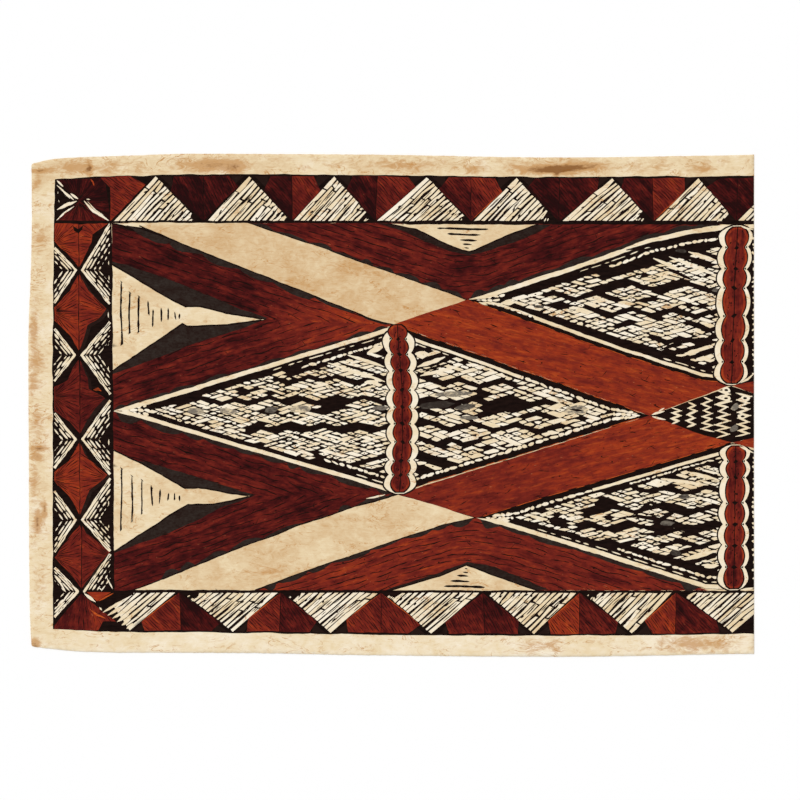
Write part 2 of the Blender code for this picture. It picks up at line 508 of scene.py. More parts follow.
def bottom_corner(art):
    """The lower left corner, where the last diamond's chevrons run into the bottom border."""
    node = -399 - 243j
    art.dyed([node] + at((-434, -284), (-434, -288), (-380, -290.5), (-354.5, -279.3)),
        lambda points: 0.26 + 0.24 * np.clip((points.real + 400) / 20, 0, 1),
        fanned(node + 30j, node - 30j), 2.4)
    art.patch(at((-372, -279), (-354, -279), (-352, -291), (-378, -291)), SOOT)
    art.fill(at((-374, -240), (-374, -267), (-366, -262), (-332, -244), (-331, -240)), SOOT)
    for index in range(6):
        start = complex(-371.5 + 6.2 * index, -267 - 4.2 * index)
        brush(art, [start, start + complex(26 - 3.6 * index, 15 - 1.6 * index)], 3.4, BARK, tone=0.3)
    art.fill(at((-392.2, -241), (-361.6, -241), (-378.9, -252.6)), DYE, tone=0.66)
    touches(art, BARK, ((2, -433.4, -221.6, -426, -230, -419.3, -240.6),
        (1.9, -415.4, -244.1, -424, -254, -433.4, -262.9), (3.2, -395.3, -242.6, -380.6, -253.5),
        (1.5, -392, -245.6, -383, -252.6), (2.6, -375.8, -260.3, -372.8, -264.2),
        (1.5, -367.7, -221.2, -358.6, -237.6), (1.4, -376, -236, -373, -238.2)), tone=0.2)
    touches(art, DYE, ((1.8, -376.7, -252.1, -358.6, -242), (2.4, -388, -263, -379, -270, -368, -275)),
        tone=0.95)


def wash_strip(art, line, near, thin, deep, lobe):
    """A charcoal strip to the left of a line: a clean inner side, and an outer side of uneven lobes. near is
    where the inner side is, thin and deep are the smallest and largest width, and lobe a lobe's length."""
    line = walked(line, 2.5)
    dice, layer, total = art.dice, len(art.marks), length_of(line)
    cusps, reached, inner, outer = [0], 0, [], []
    while cusps[-1] < total:
        cusps.append(cusps[-1] + lobe * dice.uniform(0.35, 1.5))
    shapes = [(dice.uniform(0.25, 1), dice.uniform(0.6, 1.8)) for _ in cusps]
    for index, (point, side) in enumerate(zip(line, across(line))):
        reached += abs(point - line[index - 1]) if index else 0
        number = sum(cusp < reached for cusp in cusps[1:])
        past_last = number + 1 == len(cusps)
        share = 0 if past_last else (reached - cusps[number]) / (cusps[number + 1] - cusps[number])
        height, skew = shapes[number]
        swell = height * max(0, math.sin(math.pi * min(1, share) ** skew)) ** 0.8
        fade = min(1, (total - reached) / 14, 0.15 + reached / 14)
        width = (thin + (deep - thin) * swell + 0.5 * shake(point, 5, layer)) * fade
        inner.append(point + side * near)
        outer.append(point + side * (near + max(0.3, width)))
    art.fill(inner + outer[::-1], WASH, tone=0.42)


# The comb triangles: the dye's edge above and below the charcoal, the bare shape's corners from the left
# side round by the top, and its upright strokes, each with its place, top and bottom
COMBS = ((at((-359.4, 186), (-339.3, 180.9), (-285.1, 162.2), (-233.5, 140.9), (-194.8, 124.1),
    (-158.7, 112)), at((-359, 40.2), (-336.7, 48), (-286.4, 66.6), (-256.1, 78.9), (-197.4, 97)),
    at((-359.5, 182), (-300, 146), (-265, 126.5), (-246, 127), (-212, 118.5), (-161.5, 110.2),
    (-212, 103.5), (-262, 101.5), (-269, 105), (-358.5, 44.5)),
    ((-348, 160, 77), (-337, 146, 92), (-325.5, 141, 93.5), (-313.5, 134.5, 115), (-307, 123, 101),
    (-296.5, 125.5, 107), (-287.5, 125.5, 109), (-279.5, 120.5, 110), (-273, 118, 111))),
    (at((-330, -71.6), (-310, -75), (-291.5, -79.7), (-252.8, -91.3), (-214.1, -103.9), (-175.4, -116.6)),
    at((-357.3, -191), (-330.2, -180.3), (-285.7, -164.9), (-245.1, -145.5), (-214.1, -130)),
    at((-357.3, -57.5), (-295.4, -89.5), (-266.4, -106.8), (-249, -106), (-212, -112.6), (-180, -117),
    (-202.5, -122.3), (-229.6, -128.1), (-262, -127.5), (-357.3, -188.6)),
    ((-347, -81, -162), (-334, -91, -151), (-321, -96.5, -140.5), (-309, -103, -130),
    (-297.5, -108, -127.5), (-286.5, -113, -123.5), (-279, -113, -122.5), (-273, -116, -123.5))))


def comb(art, above, below, corners, teeth):
    """A bare triangle with a neck and a spear tip, on charcoal wedges, with a comb of upright strokes."""
    dice = art.dice
    art.fill(roughened(walked(above + below[::-1], 6), 0.8, 12, 3), WASH, tone=0.4)
    art.fill(brushed(corners, 0.4, 8, 5), BARK, tone=0.5)
    art.stroke(corners, 2, uneven=0.5)
    for x, high, low in teeth:
        lean, width, tall = dice.uniform(-1.5, 2), dice.uniform(1.7, 2.4), high - low > 40
        middle = complex(x + lean * 0.4, (high + low) / 2)
        foot = [complex(x + lean + 1.5, low + 1.5)] if tall else []
        art.stroke([complex(x, high), middle, complex(x + lean, low)] + foot, width, taper=2, uneven=0.7)
        for _ in range(3 if tall else 1):
            y = low + (high - low) * dice.uniform(0.1, 0.95)
            art.spot(complex(x + lean * 0.5, y), 2.4, dice.uniform(2.6, 4), SOOT,
                turn=dice.uniform(-20, 20), points=6)
        if tall:
            brush(art, at((x - 1.8, high + 1), (x + 2, high - 2.5)), 1.2, SOOT)


def dyed_field(art):
    """The dyed bands of the left part of the field, with the bare combs and long panels beside them."""
    upper = at((FIELD_LEFT, FIELD_TOP), (-339, FIELD_TOP)) + [TOP_NODE, LEFT_TIP]
    lower = at((FIELD_LEFT, FIELD_BOTTOM), (-334, FIELD_BOTTOM)) + [LOW_NODE, LEFT_TIP]

    def near_node(points):
        return np.clip((points.real + 190) / 130, 0, 1) * np.clip((points.imag - 60) / 30, 0, 1)

    art.dyed(upper, lambda p: 0.17 + 0.4 * near_node(p), straight(-19), 8,
        at((FIELD_LEFT, 234), (-335, 226)) + [TOP_NODE, COMBS[0][0][-1], COMBS[0][0][0]])
    art.dyed(lower, lambda p: 0.22 + 0.1 * near_node(-p.conjugate()), straight(18), 8,
        at((FIELD_LEFT, -237), (-330, -234)) + [LOW_NODE, COMBS[1][0][-1], COMBS[1][1][0]])
    # Each comb's tip has dye on both sides, with its streaks running along the band that it is in.
    art.dyed([LEFT_TIP, complex(FIELD_LEFT, 41), COMBS[0][2][5], TOP_NODE],
        lambda p: 0.24 + 0.26 * near_node(p), straight(17), 8,
        [LEFT_TIP, COMBS[0][1][0], COMBS[0][0][-1], TOP_NODE - 6j])
    art.dyed([LEFT_TIP, complex(FIELD_LEFT, -57), COMBS[1][2][5], LOW_NODE], 0.24, straight(-17), 8,
        [LEFT_TIP - 4j, complex(-358, -54), COMBS[1][0][0], COMBS[1][0][-1], LOW_NODE + 6j])
    for parts in COMBS:
        comb(art, *parts)
    touches(art, SOOT, ((9, -355, 234, -320, 224, -272, 206), (3, -361, 234, -330, 233)))
    art.fill(at((-353.5, 234.6), (-343, 231.5), (-309, 227), (-319.9, 234.6)), BARK, tone=0.4)
    wash_strip(art, [TOP_NODE] + at((-160, 165), (-262, 205), (-341, FIELD_TOP - 4)), -1, 4, 11, 40)
    wash_strip(art, at((-300, -226), (-160, -172)) + [LOW_NODE], -1, 3, 11, 40)


# The long bare panels, from the left end of their outer side
UPPER_PANEL = at((-325, 231), (-183.5, 235), (-120, 214), (-12, 175.5), (70, 146.5), (98, 135.6), (70, 124),
    (38, 110), (4, 103.6), (-25, 110.5), (-80, 133), (-160, 165), (-262, 205), (-310, 225))
LOWER_PANEL = at((-333, -238.5), (-175, -238), (-110, -214), (-10, -180), (70, -153), (109.5, -145),
    (70, -132), (9, -114.4), (-40, -129), (-110, -152), (-210, -190), (-300, -226))
# The small bare triangles in the bends: the outline, the charcoal's outer edge, and each rung's left end,
# right end and height
LADDERS = ((at((-4.4, 234), (32.8, 226.7), (65.8, 210), (92.4, 199.3), (100.6, 197.6), (108.9, 200.2),
    (133.6, 211.8), (158.4, 222.5), (189.6, 232.4)), at((-16.8, 234), (14.2, 224.4), (42.6, 211.8),
    (75.7, 198.5), (100.6, 193.6), (125.1, 199), (158.4, 210), (191.6, 223.4), (206.4, 232.4)),
    ((59.3, 125.1, 227.6), (72.2, 115.5, 220.5), (89, 111, 213.1), (92.4, 104.5, 207.6),
    (94.2, 100.6, 202.8))), (at((-1.3, -238.8), (62.6, -220.3), (97.4, -205.9), (132.2, -219.4),
    (188.3, -238.8)), at((-10, -238.8), (60, -216.6), (98.5, -202), (134.2, -208.7), (172.9, -224.2),
    (204, -238)), ((94.9, 99, -210.7), (92.4, 99.6, -215.6), (85, 99.6, -219.9), (76.8, 101, -227),
    (68, 121.3, -233.7))))


def panels(art):
    """The two long bare panels and the bands that bend over and under them, with their small ladders."""
    upper_line, lower_line = UPPER_PANEL[1:6], LOWER_PANEL[1:6]
    top_cream = [TOP_CROSSING] + at((269, 192), (335, 216), (388, 228), (427, 232.5))
    low_cream = [LOW_CROSSING] + at((269, -194), (335, -215.5), (400, -236))
    art.dyed(upper_line + top_cream[1:] + at((410, FIELD_TOP), (-183, FIELD_TOP)),
        lambda p: 0.28 - 0.05 * np.clip((p.real - 60) / 120, 0, 1), bent(98, 0.33), 8)
    art.dyed(lower_line + low_cream[1:] + at((410, FIELD_BOTTOM), (-175, FIELD_BOTTOM)),
        lambda p: 0.47 - 0.06 * np.clip((p.real - 60) / 120, 0, 1), bent(104, -0.31), 8)
    wash_strip(art, upper_line, -0.5, 1.2, 9, 34)
    wash_strip(art, lower_line[::-1], -0.5, 1.5, 9, 38)
    wash_strip(art, top_cream, -1, 3.6, 9, 46)
    wash_strip(art, low_cream[::-1], -1, 3, 12, 64)
    for outline, tone in ((UPPER_PANEL, 0.74), (LOWER_PANEL, 0.64)):
        art.fill(brushed(outline, 0.5, 8, 3), BARK, tone=tone)
        art.stroke(outline[5:] + outline[:1], 1.6, uneven=0.6)
        art.stroke(outline[1:6], 1.2, uneven=0.8)
    for outline, outer, rungs in LADDERS:
        art.fill(brushed(outer, 0.8, 12, 6, 5), WASH, tone=0.35)
        art.fill(brushed(outline, 0.4, 8, 4), BARK, tone=0.6)
        art.stroke(outline, 1.8)
        for first, last, height in rungs:
            art.stroke(at((first, height + 0.4), ((first + last) / 2, height), (last, height - 0.5)), 2.6,
                taper=4, uneven=0.6)


def orange_bands(art):
    """The two soft orange bands that meet at the lozenge's right tip. Their ends at the cut are painted with
    the bead columns.
    """
    def redder(points):
        return 0.62 - 0.04 * np.clip((points.real - 140) / 200, 0, 1)
    art.dyed([TOP_NODE + 1j, TOP_CROSSING, TOP_RIGHT_NODE, RIGHT_TIP], redder, straight(-14), 7,
        runs=(0.1, 1.3), gaps=(3, 12))
    art.dyed([LOW_NODE, LOW_CROSSING, LOW_RIGHT_NODE, RIGHT_TIP],
        lambda points: 0.45 + 0.18 * np.clip((points.real - 140) / 200, 0, 1), straight(13), 7,
        runs=(0.1, 1.3), gaps=(3, 12))


class Lattice:
    """The slanting grid of a half lozenge. i counts cells along its upper side, j along its lower one."""

    def __init__(self, tip, upper, lower, cell, upper_depth, lower_depth):
        self.tip = tip
        self.upper_way = (upper - tip) / abs(upper.real - tip.real) * cell
        self.lower_way = (lower - tip) / abs(lower.real - tip.real) * cell
        self.turn = abs((self.lower_way / self.upper_way).imag) * abs(self.upper_way)
        self.first_i, self.first_j = lower_depth / self.turn, upper_depth / self.turn
        self.count = abs(upper.real - tip.real) / cell

    def place(self, i, j):
        """Where a corner of the grid is, with the slow drift of lines drawn by eye."""
        point = self.tip + (i + self.first_i) * self.upper_way + (j + self.first_j) * self.lower_way
        return point + 0.9 * complex(shake(point, 15, 41), shake(point, 15, 42))

    def row(self, i, j):
        return (i + self.first_i) - (j + self.first_j)

    def column(self, i, j):
        return (i + self.first_i) + (j + self.first_j)


def zigzag(column, middle, period, phase):
    """The row of a zigzag line at a column of the lattice."""
    return middle + abs((column + phase) % period - period / 2) - period / 4


def is_black(lattice, i, j, design):
    """Whether a cell is left black: in a zigzag band, in a lens or in a stripe by the beads."""
    row, column = lattice.row(i + 0.5, j + 0.5), lattice.column(i + 0.5, j + 0.5)
    for middle, half, period, phase, start in design["bands"]:
        if column > start and abs(row - zigzag(column, middle, period, phase)) < half:
            return True
    place = lattice.place(i + 0.5, j + 0.5)
    for x, y, wide, high in design["lenses"]:
        if ((place.real - x) / wide) ** 2 + ((place.imag - y) / high) ** 2 < 1:
            return True
    # A line that starts part of the way along its side takes the place of the cells beside it from there on.
    share, clearance = column / lattice.count, 4
    for rows, cells in zip(design["rails"], (j + 0.5 + lattice.first_j, i + 0.5 + lattice.first_i)):
        for kind, depth, width, first, _ in rows:
            if kind != "dashes" and 0.1 < first < share:
                if cells * lattice.turn < depth + width / 2 + clearance:
                    return True
    first, deep, pitch, share = design["stripes"]
    for along, beside_it in ((i + lattice.first_i, j + lattice.first_j),
            (j + lattice.first_j, i + lattice.first_i)):
        if beside_it < deep and along > first:
            return (along / pitch) % 1 < share
    return False


def brick_lattice(art, lattice, design, past):
    """The bare bricks of a half lozenge. Some take in their neighbour, and some have a dot or dash."""
    dice, sizes = art.dice, art.sizes
    # Shares of the bricks that are missing, that have a blot at a corner, and that have a dot or dash inside
    missing, blotted, dotted, dashed = 0.025, 0.55, 0.16, 0.1
    drift = 0.13
    inset = sizes.grout_width / MILLIMETRE / (2 * lattice.turn)
    cells = math.ceil(lattice.count) + 2
    taken = set()
    for i in range(cells):
        for j in range(cells):
            if (i, j) in taken or past(lattice.place(i, j)) or is_black(lattice, i, j, design):
                continue
            if dice.random() < missing:
                continue
            wide, high = 1, 1
            if dice.random() < sizes.joined_bricks:
                along_upper = dice.random() < 0.5
                beyond = (i + 1, j) if along_upper else (i, j + 1)
                if beyond not in taken and not is_black(lattice, *beyond, design):
                    taken.add(beyond)
                    wide, high = (2, 1) if along_upper else (1, 2)
            low_i, high_i, low_j, high_j = (edge + way * inset * dice.choice((0.1, 0.5, 0.9, 1.3, 2.1))
                for edge, way in ((i, 1), (i + wide, -1), (j, 1), (j + high, -1)))
            cut = dice.uniform(0.08, 0.28)
            corners = [(low_i, low_j + cut), (low_i + cut, low_j), (high_i, low_j + 0.04),
                (high_i, high_j - cut), (high_i - cut, high_j), (low_i + 0.04, high_j)]
            outline = [lattice.place(u + dice.uniform(-drift, drift), v + dice.uniform(-drift, drift))
                for u, v in corners]
            middle = sum(outline) / len(outline)
            outline.sort(key=lambda point: cmath.phase(point - middle))
            art.fill(outline, BARK, tone=dice.uniform(0, 0.45))
            if dice.random() < blotted:
                art.spot(lattice.place(low_i, low_j), dice.uniform(2.5, 6), dice.uniform(1.4, 2.6), SOOT,
                    turn=dice.uniform(-20, 20), points=6)
            chance = dice.random()
            if chance < dotted:
                art.spot(middle, dice.uniform(1.4, 2.8), 1.5, SOOT, points=6)
            elif chance < dotted + dashed:
                art.spot(middle, dice.uniform(3, 5), 0.9, SOOT, turn=dice.uniform(-18, 18), points=6)


def rails(art, side, inward, rows):
    """The lines along one side of a half lozenge, all tapering to its tip. inward is 1 where the inside is
    to the left of the side."""
    total = length_of(side)
    for kind, depth, width, first, last in rows:
        points = walked(part_of(side, max(first, 2 / total), last), 10)

        def thin(point):
            return min(1, 0.24 * abs(point - side[0]) / (depth + width / 2))

        line = [point + turn * inward * depth * thin(point) for point, turn in zip(points, across(points))]
        if kind == "line":
            art.stroke(line, width, BARK, uneven=0.22, tone=0.35, swell=thin)
        elif kind == "dashes":
            art.dashes(part_of(line, 0.12, 1), width, dash=13, gap=6, tone=0.3)
        elif kind == "rim":
            art.dashes(line, width, dash=26, gap=7, pigment=DYE, tone=0.95)
        else:
            art.bricks(part_of(line, 14 / length_of(line), 1), width, run=8, swell=thin)


def half_lozenge(art, tip, upper, lower, far, design, past):
    """One half of a lozenge: black ground, lines along its two sides, and the bricks of its lattice."""
    art.patch([tip] + lower + [far] + upper[::-1], SOOT, rough=0.5)
    to_right = 1 if upper[-1].real > tip.real else -1
    lattice = Lattice(tip, upper[-1], lower[-1], design["cell"], *design["depths"])
    brick_lattice(art, lattice, design, past)
    ways = [(side[0] - tip) / abs(side[0] - tip) for side in (upper, lower)]
    # Three short strings of bricks fill the tip, which the lattice doesn't reach.
    for share, near in ((0.3, 20), (0.5, 13), (0.7, 22)):
        way = ways[0] * share + ways[1] * (1 - share)
        art.bricks([tip + way * near, tip + way * 50], 3.6, 8, lambda point: min(1, abs(point - tip) / 32))
    rails(art, [tip] + upper, -to_right, design["rails"][0])
    rails(art, [tip] + lower, to_right, design["rails"][1])
    for x, y, wide, high, tone in design["smudges"]:
        art.spot(complex(x, y), wide, high, WASH, turn=art.dice.uniform(-8, 8), points=13, tone=tone)
    for pigment in (SOOT, BARK):
        touches(art, pigment, design["touches"].get(pigment, ()), tone=0.3)


# Each half lozenge:
# cell: the size of its lattice's cells
# depths: how deep inside its upper and lower sides the lattice starts
# rails: the lines along its upper and lower sides: kind, depth, width, first and last share of the side
# bands: black zigzags: middle row, half the thickness in rows, period and phase in columns, first column
# lenses: black ovals: middle, half width, half height
# stripes: first cell, how deep they run, pitch in cells, black share
# smudges: middle, width, height, how pale
# touches: single strokes: width, then the places it goes through
LEFT_HALF = {"cell": 8.8, "depths": (14, 10.4), "rails": ((("line", 3.1, 5.4, 0, 1),
    ("dashes", 9.6, 1.3, 0.5, 0.97), ("bricks", 17.5, 3.2, 0.62, 0.98)),
    (("line", 2.9, 4.9, 0, 1), ("dashes", 9, 1.4, 0.84, 0.97), ("bricks", 16, 3.2, 0.7, 0.98))),
    "bands": ((14.9, 1, 4.8, 0, 23), (4.7, 1.15, 4.8, 1.2, 8.5), (-0.6, 0.6, 4.8, 0.4, 25),
    (-9.1, 1.6, 4.8, 2.6, 19)), "lenses": ((-72, -2, 19, 6), (-186, 18, 12, 4.5), (-158, -9, 14, 5)),
    "stripes": (30, 9.2, 3, 0.46), "smudges": ((-252, -8, 24, 8, 0.84), (-210, -8, 23, 7.5, 0.9),
    (-154, -6, 16, 9, 0.66), (-117, -5, 30, 9, 0.92), (-14, -3.5, 20, 6, 0.8)),
    "touches": {BARK: ((6, -31, 67.5, -8, 77), (4.4, -55.5, 64.8, -9, 49.3), (4.4, -81, 54.4, -8, 30.5),
    (5.5, -34, 29.5, -17, 30)), SOOT: ((3.4, -46, 69, -10, 57), (3.4, -66, 54, -10, 37))}}
RIGHT_HALF = {"cell": 9.4, "depths": (12.4, 12.6), "rails": ((("rim", 0.6, 0.8, 0.02, 0.98),
    ("bricks", 9.4, 3.8, 0, 0.5), ("line", 9.2, 3.8, 0.5, 1), ("dashes", 14, 1.5, 0.55, 0.97)),
    (("rim", 0.6, 0.8, 0.02, 0.98), ("bricks", 9.6, 4, 0, 0.97))),
    "bands": ((12.2, 1, 5.4, 1, 18), (3.7, 1.4, 5.4, 2.2, 13), (-1.2, 0.5, 5.4, 0.8, 12),
    (-5.9, 1.2, 6.2, 0.5, 12), (-12.6, 0.7, 4.7, 1, 22)), "lenses": ((52, 0, 24, 6), (118, 14, 11, 4)),
    "stripes": (24, 8.9, 3, 0.46), "smudges": ((58, 0.3, 44, 9, 0.55), (96, -2, 30, 8, 0.7),
    (80.6, 14.4, 46, 7, 0.86), (238.7, -6.2, 32, 12, 0.9), (100, -16, 24, 5, 0.8)),
    "touches": {SOOT: ((12, 114, -3.6, 131, -2.6, 153, -3.6), (9, 143, -4.3, 164, -4.3),
    (3.2, 36, 56, 60, 66), (3.2, 40, 44, 78, 55), (3, 230, -6, 247, -7)),
    BARK: ((8.5, 31, 66, 49, 65.5), (5, 33.5, 48.5, 69.7, 62.5), (4.5, 37.4, 37.7, 89, 51))}}
UPPER_RIGHT = {"cell": 9.2, "depths": (13.5, 13.4), "rails": ((("line", 3.3, 5.6, 0, 1),
    ("dashes", 10.6, 1.2, 0.35, 0.9), ("bricks", 17, 3.6, 0.5, 1)),
    (("rim", 0.6, 0.8, 0, 0.98), ("bricks", 7.5, 2.8, 0.03, 0.3), ("line", 7.4, 4.1, 0.25, 1),
    ("dashes", 12.6, 1.6, 0.7, 0.97))), "bands": ((7.3, 1.6, 8.2, 2, 17), (2.4, 0.3, 6.4, 1, 10),
    (-4.4, 1.4, 6.4, 2.8, 16), (-10.4, 0.8, 6.4, 2, 20), (-16.9, 0.7, 5, 0, 25)),
    "lenses": ((220.6, 128, 11, 6), (172.9, 143.4, 8, 3), (263.2, 122.8, 10, 4)),
    "stripes": (25, 7.6, 2.7, 0.48), "smudges": ((374, 199, 14, 5, 0.6), (421, 148, 14, 5, 0.7),
    (190, 127, 14, 4, 0.7)), "touches": {SOOT: ((5.5, 303, 200, 352, 210, 420, 222),
    (5, 347, 71.9, 376, 82, 405, 87.3), (4, 352, 178, 392, 160), (4, 378, 188, 424, 174)),
    BARK: ((4.6, 338, 189.2, 376, 173.1), (4.6, 358.6, 191.8, 418.6, 168), (4.6, 383.1, 197.6, 420.5, 186),
    (6, 142, 131.5, 160.3, 132.6), (2, 113.5, 133.1, 125.1, 129.3),
    (2.2, 122.6, 135.7, 150, 126.5, 191.6, 112.5), (5, 372.8, 63.5, 416.7, 77.7),
    (5, 392.2, 58.3, 418, 63.5))}}
LOWER_RIGHT = {"cell": 9.2, "depths": (13.2, 13.8), "rails": ((("rim", 0.6, 0.8, 0, 0.98),
    ("bricks", 9.2, 3.6, 0.02, 0.45), ("line", 9.2, 3.8, 0.45, 1), ("bricks", 14.8, 2.2, 0.55, 0.98)),
    (("line", 3.3, 5.6, 0, 1), ("dashes", 9.2, 1.7, 0.12, 0.98), ("bricks", 15.2, 3.2, 0.5, 0.98))),
    "bands": ((13.2, 1.1, 5.5, 1, 18), (3.7, 1.3, 7.3, 3, 15), (-0.4, 0.5, 6, 1.6, 10),
    (-4.6, 1.2, 6, 2, 14), (-12.8, 0.8, 5.8, 0.5, 20)), "lenses": ((218, -152, 14, 5), (276, -124, 14, 5),
    (350, -152, 13, 5)), "stripes": (22, 7.3, 3.1, 0.46), "smudges": ((356, -152, 18, 7, 0.7),
    (378, -118, 16, 6, 0.7), (366, -190, 14, 7, 0.6)), "touches": {SOOT: ((4.2, 316.1, -137.8, 334.1,
    -124.9, 354.8, -132.6), (5.4, 292.8, -145.5, 316.1, -142.9, 347, -148.1, 367.7, -135.2, 393.5, -135.2,
    421.8, -142.9), (5, 316.1, -166.2, 347, -166.2, 372.8, -158.4, 398.6, -168.7, 421.8, -176.5),
    (9, 204, -149, 226, -149.6)), BARK: ((4.6, 383.1, -86.2, 421.8, -96.5),
    (4.4, 349.6, -95.2, 408.9, -102.9), (6, 378, -199.7, 419.3, -186.8), (3.6, 133, -147.6, 151, -146.6),
    (5, 404, -208.7, 422, -206.4))}}


def lozenges(art):
    """The central lozenge and the two at the right, which the cut runs through."""
    top, bottom = 8.5 + 102.8j, 7.8 - 113.3j
    wash_strip(art, [LEFT_TIP, top], -1, 2.2, 7.5, 36)
    wash_strip(art, [bottom, LEFT_TIP], -1, 2.8, 12, 40)
    half_lozenge(art, LEFT_TIP, [top - 4], [bottom - 4], 12 - 5j, LEFT_HALF, lambda p: p.real > 6)
    half_lozenge(art, RIGHT_TIP, [top], [bottom], 12 - 5j, RIGHT_HALF, lambda p: p.real < 22)
    upper = at((269, 191.5), (335, 215.7), (388, 227.5), (430, 232))
    lower = at((227, 89.9), (302, 63), (401, 32), (439, 26.5))
    half_lozenge(art, TOP_CROSSING, upper, lower, 446 + 130j, UPPER_RIGHT, lambda p: p.real > 426)
    upper = at((270, -97), (401, -59), (438, -48.5))
    lower = at((269, -193.5), (335, -215), (404, -236.5), (438, -237.5))
    half_lozenge(art, LOW_CROSSING, upper, lower, 444 - 150j, LOWER_RIGHT, lambda p: p.real > 424)


def scalloped(centre, joints, half, dip, side, tip):
    """One side of a bead column from its first joint to its last: a bulge between joints, a cusp at each,
    and rounded ends. tip is the share of the width that is left at both ends."""
    line, last = [], len(joints) - 2
    for index, (start, end) in enumerate(zip(joints, joints[1:])):
        for step in range(8):
            share = step / 8
            swell = math.sin(math.pi * share) ** 0.75 if step else 0
            reach = half - dip * (1 - swell)
            if (index == 0 and share < 0.5) or (index == last and share > 0.5):
                reach = half * (tip + (1 - tip) * swell)
            y = start + (end - start) * share
            line.append(complex(level(centre, y) + side * reach, y))
    return line + [complex(level(centre, joints[-1]) + side * half * tip, joints[-1])]


def closed_column(art, centre, joints, half, dip, tip, pigment, **look):
    """A column filled between its two scalloped sides. half is how far each side stands out."""
    left = scalloped(centre, joints, half[0], dip, -1, tip)
    right = scalloped(centre, joints, half[1], dip, 1, tip)
    art.fill(left + right[::-1], pigment, **look)


def bead_column(art, centre, joints, first_notch, above, bead, edging, tone):
    """A column of dyed beads between two scalloped bare edgings, all outlined in black. joints are the
    heights where beads meet, first_notch is the first one where the edgings have a cusp, above is how far
    the edgings pass the first one, and bead and edging are half widths."""
    dice = art.dice
    inner = [y + dice.uniform(-2, 2) for y in joints[first_notch:-1]]
    lobes = [joints[0] + above, *inner, joints[-1] - 2.6]
    outside = [joints[0] + above + 1.6, *inner, joints[-1] - 4.2]
    rim = joints[0] + 1.6, *joints[1:-1], joints[-1] - 1.6
    core = joints[0] - 2.2, *joints[1:-1], joints[-1] + 2.2
    closed_column(art, centre, outside, [reach + 2 for reach in edging], 5.8, 0.3, SOOT)
    closed_column(art, centre, lobes, edging, 5.6, 0.25, BARK, tone=0.24)
    closed_column(art, centre, rim, (bead + 1.6, bead + 1.6), 5, 0.45, SOOT)
    closed_column(art, centre, joints, (bead, bead), 5, 0.4, DYE, tone=tone + 0.3, grain=straight(90))
    closed_column(art, centre, core, (bead * 0.8, bead * 0.8), 3.4, 0.3, DYE, tone=tone + 0.08,
        grain=straight(90))
    middle = [complex(level(centre, y), y) for y in joints]
    art.stroke(middle, 1.1, uneven=0.7)
    for place in middle[1:-1]:
        for side in (-1, 1):
            lean = complex(dice.uniform(2.4, 4.6), dice.uniform(-2, 2))
            art.fill([place + 3.2j, place + side * lean, place - 3.2j], SOOT)
            edge = place + side * (bead - 3.4)
            art.fill([edge, edge + side * 3 + 1.8j, edge + side * 3 - 1.8j], SOOT)
    for start, end in zip(joints, joints[1:]):
        for _ in range(5):
            y = start + (end - start) * dice.uniform(0.15, 0.85)
            place = complex(level(centre, y) + dice.uniform(-0.6, 0.6) * bead, y)
            art.spot(place, dice.uniform(1.5, 4.5), dice.uniform(1, 1.6), SOOT, turn=dice.uniform(40, 120),
                points=6)


# The bare strokes at the ends of the two right-hand columns: width, then the places it goes through
COLUMN_ENDS = ((2.4, 450, 231.5, 458, 228, 468, 226), (2.6, 451.5, 28.6, 460, 33, 468, 40.5),
    (2.4, 450.2, -53.9, 468, -61.7), (2.4, 450.2, -238, 468, -235.4))


def bead_columns(art):
    """The three columns of beads, the last two on black ground that runs to the cut."""
    art.patch(at((440, 230), (CUT, 232), (CUT, 17), (439, 26.5)), SOOT, rough=0.3)
    art.patch(at((440, -49), (CUT, -60), (CUT, -238), (440, -236)), SOOT, rough=0.3)
    art.stroke(at((402, 226.6), (424, 229.6), (446, 231.2), (470, 230.4)), 5, BARK, tone=0.35)
    bead_column(art, ((-112, 11), (-45, 15), (31, 14.4), (94, 8.5), (110, 7.5)),
        (103, 85.4, 65.4, 44.1, 19.6, -2.3, -23.7, -47.5, -72, -90, -111), 2, -5, 11.6, (20.5, 20.5), 0.27)
    upper_joints = 229.1, 203.4, 176.5, 151.2, 115.1, 83.5, 56, 28.6
    bead_column(art, ((26, 438.9), (129, 442.3), (190, 444.4), (232, 447)), upper_joints, 1, 2.6, 14.4,
        (23, 20.5), 0.3)
    lower_joints = -53.9, -72, -93.1, -126.2, -154, -181.6, -208.7, -235.8
    bead_column(art, ((-237, 442), (-130, 443.4), (-52, 445)), lower_joints, 1, 2.6, 12.2, (21, 18.5), 0.27)
    for high, low in (upper_joints[0::7], lower_joints[0::7]):
        y = high - 14
        while y > low + 10:
            art.spot(complex(468, y), art.dice.uniform(2, 7), art.dice.uniform(2, 4.6), BARK, tone=0.3,
                turn=art.dice.uniform(-30, 30), points=7)
            y -= art.dice.uniform(4, 11)
    touches(art, BARK, COLUMN_ENDS, tone=0.3)
    art.patch(at((440.5, 24.8), (CUT, 32), (CUT, 13)), DYE, tone=0.5)
    art.patch(at((440.5, -48.8), (CUT, -39.5), (CUT, -57)), DYE, tone=0.66)


# Each upright zigzag of the checker: middle, swing to each side, top, bottom, number of runs
CHECKER_COLUMNS = ((367.8, 5.2, -3.2, -24, 6), (387.6, 5.4, 3.6, -27.5, 8), (407.8, 6, 9.4, -34, 11),
    (428.4, 7.4, 18, -42, 14), (454.2, 8.6, 15, -40.5, 14))


